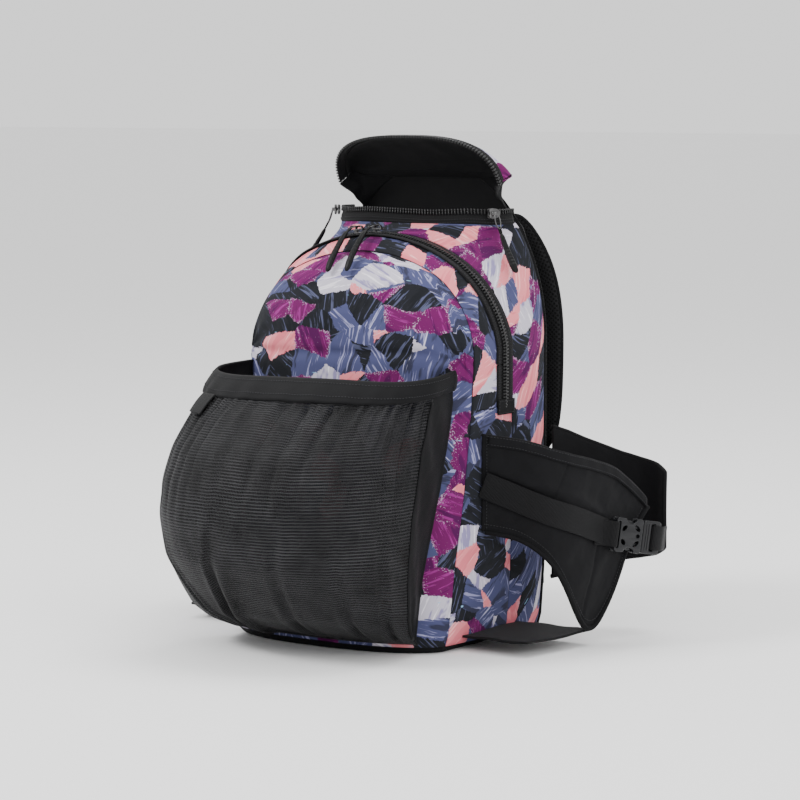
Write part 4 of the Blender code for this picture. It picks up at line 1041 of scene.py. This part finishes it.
def net_relief(u, z):
    """Gathers under the hem and the long folds that run down to the bottom seam."""
    fall = np.clip((228 - z) / 5, 0, 1)
    fine = np.exp(-(228 - z) / 17.0) * fall
    long = np.exp(-((228 - z) / 78.0) ** 2) * fall
    pleat = 1 - np.abs(np.sin(u * 36 + 1.3 * np.sin(u * 9 + 1))) ** 0.5
    pleat2 = 1 - np.abs(np.sin(u * 74 + 2.0 * np.sin(u * 6))) ** 0.7
    strength = 0.35 + 0.65 * np.abs(np.sin(u * 5.0 + 0.6))
    r = -long * 6.5 * pleat * strength - fine * 3.6 * pleat2
    low = np.exp(-np.clip(z + 3, 0, 400) / 62.0)
    for u0, lean, wid, amp in ((-0.13, 0.0013, 0.020, 9.0), (-0.30, -0.0016, 0.018, 6.5), (0.10, 0.0010, 0.02, 4.5),
                               (0.42, 0.0005, 0.022, 4.0), (-0.62, -0.0008, 0.03, 4.0), (0.66, 0.0004, 0.026, 4.0)):
        d = u - u0 - lean * (z - 20)
        r = r - amp * low * bump_line(d, wid) + amp * 0.6 * low * bump_line(np.abs(d) - wid * 1.9, wid)
    deep = np.exp(-((z - 30) / 75.0) ** 2)
    d = u + 0.16 - 0.0012 * (z - 10)
    r = r - 6.0 * deep * bump_line(d, 0.014) + 4.0 * deep * bump_line(d - 0.035, 0.022)
    return r + 0.7 * waves(u * 190, z, 71, 6, 1.0, 0.3)


def turned_in(grid, both=False):
    """Adds the rear edge that turns back onto the front panel."""
    back = np.array([0, 4.4, 0])
    ends = [grid[:, :1] + back] if both else []
    return np.concatenate(ends + [grid, grid[:, -1:] + back], axis=1)


def net():
    mid = np.linspace(-0.868, 0.868, 190)
    rows = np.r_[np.linspace(-2.5, 30, 26), np.linspace(33, 227, 84), np.linspace(229, 235, 4)]
    uu, zz = np.meshgrid(mid, rows)
    grid = smooth_rows(net_points(uu, zz), 6)
    n = outward(grid, NET_MID)
    fade = np.clip((zz + 2.5) / 10, 0, 1) * np.clip((0.868 - np.abs(uu)) / 0.03, 0, 1)
    grid = grid + n * (net_relief(uu, zz) * fade)[..., None]
    panel("net_cloth", "bag", "net", grid, 0.8, NET_MID, "helmet_net")
    for tag, sign in (("l", -1), ("r", 1)):
        us = np.linspace(NET_SIDE, 1.0, 26) * sign
        uu, zz = np.meshgrid(us, rows)
        grid = smooth_rows(net_points(uu, zz), 6)
        n = outward(grid, NET_MID)
        t = (np.abs(uu) - NET_SIDE) / (1 - NET_SIDE)
        relief = 1.4 * np.sin(zz / 13 + 5 * t + np.sin(zz / 31)) + 1.2 * waves(t * 60, zz, 81 + sign, 6, 1.2, 0.5)
        relief = relief * np.sin(np.pi * t) * np.clip((226 - zz) / 10, 0, 1) - 0.8 * np.clip((zz - 222) / 6, 0, 1)
        grid = grid + n * relief[..., None]
        panel("net_gusset_cloth_" + tag, "bag", "stretch", turned_in(grid), 1.0, NET_MID, "net_gusset_" + tag)
        seam = net_points(np.full(60, 0.867 * sign), np.linspace(4, 224, 60), 0.8)
        s = sweep("net_seam_" + tag, seam, rounded(1.6, 0.5), (0, 1, 0), M["stretch"])
        place(s, "bag", "stretch")
    us = np.linspace(-1, 1, 220)
    zs = np.linspace(226.0, 245.5, 14)
    uu, zz = np.meshgrid(us, zs)
    grid = net_points(uu, zz, 0.6)
    n = outward(grid, (0, -40, 230))
    t = (zz - 226) / 19.5
    pull = 1.6 * np.sin(np.pi * t) ** 0.5 + 0.5 * np.sin(uu * 46 + np.sin(uu * 11)) * (1 - t)
    grid = grid + n * pull[..., None]
    grid[..., 2] += 1.1 * np.sin(uu * 7 + 0.5) + 4.0 * np.abs(uu) ** 6
    panel("net_band_cloth", "bag", "stretch", turned_in(grid, True), 2.4, (0, -40, 230), "net_band")
    rows_s = []
    for k, zf in enumerate((3, 10)):
        line = grid[zf, 4:-4]
        rows_s.append(stitch_row("tmp_s%d" % k, line, n[zf, 4:-4], lift=0.2))
    place(joined("net_band_stitches", rows_s), "bag", "thread")
    us = np.linspace(-0.425, -0.275, 22)
    zs = np.linspace(211, 227.5, 10)
    uu, zz = np.meshgrid(us, zs)
    grid = net_points(uu, zz, 3.4)
    n = outward(grid, (0, -40, 200))
    grid += n * (0.8 * np.sin(np.pi * (zz - 211) / 16.5))[..., None]
    panel("net_tab_cloth", "bag", "web", grid, 1.4, (0, -40, 200), "net_tab")


# ================================================================ boot wings
WING_MID = (150, 60, 100)
WING = np.array([(133.2, -6), (148, 0), (165, 7), (182, 13), (196, 20), (204, 29), (208.5, 42), (211, 56), (213, 70),
                 (215, 84), (216.4, 98), (217.6, 113), (219.5, 130), (222, 146)], float)
WING_LOW = np.array([98, 96, 93, 84, 70, 48, 22, 4, 4, 21, 44, 76, 98, 112], float)
WING_HIGH = np.array([190, 188, 186, 182, 177, 174, 170, 167, 163, 159, 154, 145, 133, 119], float)


def rounded_line(points, n, rounds=3):
    p = smooth_path(points, 1.0, rounds)
    seg = arc_length(p)
    return at_length(p, np.linspace(0, seg[-1], n), seg)


WING_FINE = rounded_line(np.column_stack([WING, WING_LOW, WING_HIGH]), 400, 2)
WING_FS = arc_length(WING_FINE[:, :2])


def wing_at(s, z, off=0.0):
    s, z = np.asarray(s, float), np.asarray(z, float)
    get = lambda k, c: np.interp(k, WING_FS, WING_FINE[:, c])
    x, y = get(s, 0), get(s, 1)
    tx, ty = get(s + 4, 0) - get(s - 4, 0), get(s + 4, 1) - get(s - 4, 1)
    ln = np.maximum(np.hypot(tx, ty), 1e-6)
    nx, ny = ty / ln, -tx / ln
    f = np.clip((s - 8) / 60.0, 0, 1)
    belly = 5.0 * f * np.sin(np.pi * np.clip(z / 170.0, 0, 1))
    k = off + belly - 3.0 * f
    return np.stack([x + nx * k, y + ny * k, z + 0 * x], -1)


def flip(grid, sign):
    """The same points on the left (-1) or right (1) side."""
    return np.asarray(grid) * np.array([sign, 1, 1])


def strap_z(s):
    """Height of the webbing that slopes down over the wing to the buckle."""
    return 143 - 49.5 * s / 133.0


def wing_cloth(tag, sign):
    """Wing that wraps the boot, with its top hem, toe binding and stitching."""
    s = np.linspace(0, WING_FS[-1], 120)
    lo = np.interp(s, WING_FS, WING_FINE[:, 2])
    hi = np.interp(s, WING_FS, WING_FINE[:, 3])
    ss = np.broadcast_to(s[:, None], (120, 60))
    zz = lo[:, None] + (hi - lo)[:, None] * np.linspace(0, 1, 60)[None, :]
    base = wing_at(ss, zz)
    n = outward(base, WING_MID)
    d_top, d_low = (hi[:, None] - zz), (zz - lo[:, None])
    inner = np.clip(d_top / 14, 0, 1) * np.clip(d_low / 12, 0, 1) * np.clip(ss / 10, 0, 1)
    relief = (1.5 * waves(ss, zz, 91, 8, 1.1, 0.5) + 0.8 * waves(ss, zz, 92, 6, 2.2, 0.5)) * inner
    # the webbing presses a groove with a fold above it; two sewn seams cross the cloth
    web_z = strap_z(np.clip(ss, 0, 133))
    relief -= 1.2 * bump_line(zz - web_z, 13, 2) * np.clip((140 - ss) / 10, 0, 1)
    fold = 1.8 * bump_line(zz - web_z - 20 + 3 * np.sin(ss / 17), 5)
    relief += fold * np.clip(ss / 30, 0, 1) * np.clip((150 - ss) / 30, 0, 1)
    relief -= 1.5 * bump_line((ss - 84) - (zz - 160) * 0.55, 1.6) * (zz > 128)
    relief -= 1.3 * bump_line((ss - 128) - (zz - 100) * 0.30, 1.6) * (zz < web_z - 12)
    grid = base + n * relief[..., None]
    panel("wing_cloth_" + tag, "bag", "softshell", flip(grid, sign), 2.0, flip(WING_MID, sign), "wing_" + tag)
    hem_w = 11.0
    hem = []
    for k in range(4, 118):
        z1 = hi[k] + 0.4
        z0 = max(z1 - hem_w, lo[k] + 0.5)
        hem.append(wing_at(np.full(7, s[k]), np.linspace(z0, z1, 7), 1.5))
    hem = np.array(hem)
    prof = np.array([0, 0.5, 0.75, 0.8, 0.75, 0.5, 0])
    hn = outward(hem, WING_MID)
    hem = hem + hn * (prof[None, :] + 0.25 * np.sin(np.arange(114)[:, None] / 1.7) * prof[None, :])[..., None]
    panel("wing_hem_" + tag, "bag", "softshell", flip(hem, sign), 1.3, flip(WING_MID, sign))
    toe = resample(wing_at(s[s > 2], lo[s > 2]), 2.0)
    ob = sweep("wing_binding_" + tag, flip(toe, sign), rounded(2.6, 2.6, 2.55, 3), (0, 0, 1), M["black"])
    place(ob, "bag", "black")
    # stitches along the hem, the toe binding and the front seam
    sewn = (s > 2) & (hi - lo > 22)
    lines = [(s[sewn], lo[sewn] + 7.5), (np.full(40, 5.0), np.linspace(99, 188, 40))]
    rows = [(hem[:, k], hn[:, k]) for k in (1, 5)]
    rows += [(wing_at(a, b, 0.9), unit(wing_at(a, b, 5) - wing_at(a, b, 0))) for a, b in lines]
    rows = [stitch_row("tmp", flip(line, sign), flip(normal, sign)) for line, normal in rows]
    place(joined("wing_stitches_" + tag, rows), "bag", "thread")


def stirrup(tag, sign):
    """Sheet that carries the boot sole."""
    grid = []
    for y in np.linspace(-28, 70, 40):
        x = np.linspace(126.5, np.interp(y, [-28, 30, 70], [198, 206, 207]), 30)
        grid.append(np.stack([x, np.full(30, y), 2.6 + 0.5 * np.sin(x / 7 + y / 15) - 0.4], 1))
    panel("boot_stirrup_cloth_" + tag, "bag", "softshell", flip(grid, sign), 2.0, (160 * sign, 20, -300),
          "boot_stirrup_" + tag)


def rear_flap(tag, sign):
    """Softshell flap behind the boot heel with its bound edge."""
    rear = smooth_path([(133.4, 116), (143, 136), (158, 156), (176, 171), (196, 179), (212, 179), (222, 174),
                        (229.5, 168)], 1.6, 3)
    k = np.linspace(0, 1, len(rear))
    low = np.interp(k, np.linspace(0, 1, 8), [40, 42, 46, 50, 55, 58, 62, 70])
    high = np.interp(k, np.linspace(0, 1, 8), [186, 180, 172, 165, 158, 153, 149, 143])
    t = np.linspace(0, 1, 40)
    zz = low[:, None] + (high - low)[:, None] * t[None]
    grid = np.stack([np.broadcast_to(rear[:, :1], zz.shape), np.broadcast_to(rear[:, 1:2], zz.shape), zz], -1)
    n = outward(grid, (170, 100, 100))
    edge = np.sin(np.pi * t)[None] ** 0.5 * np.sin(np.pi * np.clip(k, 0.02, 0.98))[:, None] ** 0.4
    grid = grid + n * ((1.4 * waves(k[:, None] * 130, zz, 101, 7, 1.2, 0.5)) * edge)[..., None]
    panel("rear_flap_cloth_" + tag, "bag", "softshell", flip(grid, sign), 2.0, (170 * sign, 100, 100),
          "rear_flap_" + tag)
    rim = resample(np.vstack([grid[:, -1], grid[-1, ::-1], grid[::-1, 0]]), 2.5)
    binding = rounded(2.2, 2.2, 2.15, 3)
    ob = sweep("rear_flap_binding_" + tag, flip(rim, sign), binding, (1, 1, 0.3), M["black"])
    place(ob, "bag", "black")


def webbing(name, path, side, body, nodes, width=WEB, thick=1.6, step=1.6):
    path = resample(path, step)
    ob = sweep(name, path, rounded(width / 2, thick / 2, thick * 0.45, 3), side, M["web"])
    return place(ob, body, "web", *nodes)


def wings():
    s = np.linspace(1.5, 129.0, 80)
    for tag, sign in (("l", -1), ("r", 1)):
        wing_cloth(tag, sign)
        stirrup(tag, sign)
        web = flip(wing_at(s, strap_z(s), 2.7), sign)
        webbing("wing_webbing_cloth_" + tag, web, (0, 0, 1), "bag", ["wing_webbing_" + tag])
        rear_flap(tag, sign)


# ================================================================ back, straps, handle
def back_pad():
    """Padded back: six cushions pressed into one sheet with a rolled edge and a flat inner face."""
    rows = np.r_[np.linspace(FOOT, 400, 130), np.linspace(402, 426.4, 20)]
    t = np.sin(np.linspace(-math.pi / 2, math.pi / 2, 90))
    w = back_width(rows)[:, None]
    x, z = w * t[None], np.broadcast_to(rows[:, None], (150, 90))
    edge = np.minimum(w - np.abs(x), np.minimum(z - FOOT, 427 - z) + 1.0)
    roll = 9.0 * (1 - np.clip(edge / 14, 0, 1)) ** 2
    pads = 0
    for cx in (-58, 58):
        for z0, z1 in ((30, 145), (160, 262), (277, 385)):
            dx = np.clip((46 - np.abs(x - cx)) / 9, 0, 1)
            dz = np.clip((np.minimum(z - z0, z1 - z)) / 9, 0, 1)
            pads = pads + 5.5 * np.sin(dx * math.pi / 2) * np.sin(dz * math.pi / 2)
    grid = np.stack([x, 120.6 - roll + pads + 0.3 * waves(x, z, 51, 5), z], -1)
    ob = cloth("back_pad", grid, 0.0, (0, -400, 200), M["back"], M["lining"], uv=np.stack([x, z], -1))
    inner = grid.reshape(-1, 3) * MM + np.array([0, 0, LIFT * MM])
    inner[:, 1] = 112.8 * MM
    co = np.array([v.co for v in ob.data.vertices])
    co[len(inner):] = inner
    ob.data.vertices.foreach_set("co", co.ravel())
    ob.data.update()
    fix_normals(ob)
    place(ob, "bag", "back", "back_panel")


def shoulder_straps():
    for tag, sign in (("l", -1), ("r", 1)):
        pts = np.array([(50, 130.5, 386), (50.5, 138, 385.5), (57, 149, 376), (71, 156, 350), (82, 158.5, 320),
                        (88, 158.5, 285), (90, 157, 245), (92, 153.5, 205), (94, 149, 174), (95, 146.5, 160)], float)
        hw = np.array([24, 25, 27, 29, 30, 30, 29, 28, 24, 14], float)
        ht = np.array([2.0, 3.5, 5.0, 6, 6, 6, 6, 5.6, 4.5, 2.2])
        full = rounded_line(np.column_stack([pts, hw, ht]), 110, 2)
        path = flip(full[:, :3], sign)
        prof = []
        for w2, h2 in full[:, 3:]:
            a = np.linspace(0, 2 * np.pi, 40, endpoint=False)
            px = w2 * np.sign(np.cos(a)) * np.abs(np.cos(a)) ** 0.45
            py = h2 * np.sign(np.sin(a)) * np.abs(np.sin(a)) ** 0.75 * (1 - 0.12 * np.cos(a) ** 8)
            prof.append(np.stack([px, py], 1))
        ob = sweep("shoulder_strap_pad_" + tag, path, np.array(prof), (1, 0, 0), M["back"])
        place(ob, "harness_" + tag, "back", "shoulder_strap_" + tag)
        tang = unit(np.gradient(path, axis=0))
        s = unit(np.array([1.0, 0, 0]) - tang * tang[:, :1])
        n = np.cross(tang, s)
        n = n * np.sign(n[:, 1:2] + 1e-6)
        for side in (-1, 1):
            edge = path[3:] + s[3:] * (side * (full[3:, 3:4] - 0.4))
            name = "strap_binding_%s_%s" % (tag, "a" if side < 0 else "b")
            b = sweep(name, resample(edge, 2.2), rounded(1.9, 1.9, 1.85, 3), (0, 1, 0.2), M["black"])
            place(b, "harness_" + tag, "black")
        mid = path[14:104] + n[14:104] * (full[14:104, 4:5] + 0.55)
        webbing("strap_web_top_" + tag, mid, (1, 0, 0), "harness_" + tag, [], 22.0, 1.2)


def strap_webbing():
    for tag, sign in (("l", -1), ("r", 1)):
        o = np.array([95.7, 143.2, 148.0])
        down = unit((0.07, -0.17, -0.98))
        across = unit(np.array([1.0, 0, 0]) - down * down[0])
        out = np.cross(across, down)
        out = out if out[1] > 0 else -out
        local = [(30, 5.2), (20, 5.4), (8, 5.2), (2.6, 4.9), (0.3, 3.4), (0.1, 1.6), (0.3, -0.2), (2.6, -1.6),
                 (8, -1.8), (20, -1.6)]
        web = [o + down * a + out * c for a, c in local]
        web += [np.array(p) for p in [(99.5, 137.0, 105), (104, 131.5, 65), (106.5, 129.2, 44), (107, 128.8, 30)]]
        webbing("strap_webbing_cloth_" + tag, flip(smooth_path(web, 1.5, 2), sign), (1, 0, 0), "harness_" + tag,
                ["strap_webbing_" + tag], 20.0, 1.5)


def handle():
    q = np.linspace(0, 1, 80)
    a = math.pi * q
    c = np.cos(a)
    path = np.stack([-32 * np.sign(c) * np.abs(c) ** 0.7, np.full(80, 133.4), 392 + 40 * np.sin(a) ** 0.8], 1)
    webbing("haul_handle_web", path, (0, 1, 0), "haul_handle", ["haul_handle"], 10.0, 2.6)


# ================================================================ small hardware
def buckle_axes():
    p = wing_at(133.0, 93.5, 2.6)
    u = unit((0.36, 0.93, -0.16))
    w = unit(np.cross(u, (0, 0, 1)))
    v = np.cross(w, u)
    return p, u, v, w


def clip_webs():
    p, u, v, w = buckle_axes()
    local = [(46.9, 0.2), (47.0, 4.6), (48.4, 9.4), (53, 10.2), (58, 9.2), (63, 5.0), (68, -1.0), (73, -6.5),
             (78, -10.5)]
    path = smooth_path([p + u * a + w * c for a, c in local], 1.2, 2)
    for tag, sign in (("l", -1), ("r", 1)):
        webbing("clip_webbing_cloth_" + tag, flip(path, sign), flip(v, sign), "clip_" + tag,
                ["clip_webbing_" + tag], WEB - 1.6, 1.4, 1.2)


def finish_cad():
    """CAD nodes whose shape is right keep it: better material, softened edges."""
    keys = {"base_panel": "black", "base_board": "board", "divider_panel": "lining"}
    for tag in "lr":
        keys["back_piping_" + tag] = "black"
        keys["ladder_lock_" + tag] = "plastic"
    for name, key in keys.items():
        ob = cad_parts[name]
        for k in range(len(ob.material_slots)):
            ob.material_slots[k].material = M[key]
        if key == "plastic":
            b = ob.modifiers.new("soft_edges", "BEVEL")
            b.width = 0.0005
            b.segments = 2
            b.limit_method = "ANGLE"
            b.angle_limit = math.radians(35)


# ================================================================ stage
def stage():
    bpy.ops.mesh.primitive_plane_add(size=60, location=(0, 0, -0.0005))
    floor = bpy.context.object
    floor.name = "floor"
    g = Graph("floor")
    floor.data.materials.append(g.finish((0.93, 0.93, 0.93), 0.95, spec=0.1))
    world = bpy.data.worlds.new("studio")
    bpy.context.scene.world = world
    world.use_nodes = True
    world.node_tree.nodes["Background"].inputs[0].default_value = (1, 1, 1, 1)
    world.node_tree.nodes["Background"].inputs[1].default_value = 1.25

    def area(name, loc, size, power, target=(0, 0, 0.2)):
        data = bpy.data.lights.new(name, "AREA")
        data.shape = "DISK"
        data.size = size
        data.energy = power
        ob = bpy.data.objects.new(name, data)
        bpy.context.scene.collection.objects.link(ob)
        ob.location = loc
        ob.rotation_euler = (Vector(target) - Vector(loc)).to_track_quat("-Z", "Y").to_euler()

    area("key", (-1.4, -1.8, 2.2), 0.9, 60)
    area("fill", (2.4, -1.2, 1.2), 1.2, 26)
    area("top", (0.2, 0.6, 2.4), 1.4, 30)

    az, el, dist = math.radians(35.0), math.radians(5.68), 3.0
    back = Vector((math.sin(az) * math.cos(el), -math.cos(az) * math.cos(el), math.sin(el)))
    cam = bpy.data.cameras.new("camera")
    cam.lens, cam.sensor_width = 140.85, 36
    ob = bpy.data.objects.new("camera", cam)
    bpy.context.scene.collection.objects.link(ob)
    ob.location = Vector((0.0243, 0.0162, 0.2257)) + back * dist
    ob.rotation_euler = back.to_track_quat("Z", "Y").to_euler()
    bpy.context.scene.camera = ob


front_cloth()
gusset_cloth()
body_cloth()
front_zip()
main_zip()
lid()
net()
wings()
back_pad()
shoulder_straps()
strap_webbing()
handle()
clip_webs()
sliders()
buckles()
finish_cad()
stage()

bpy.context.view_layer.update()
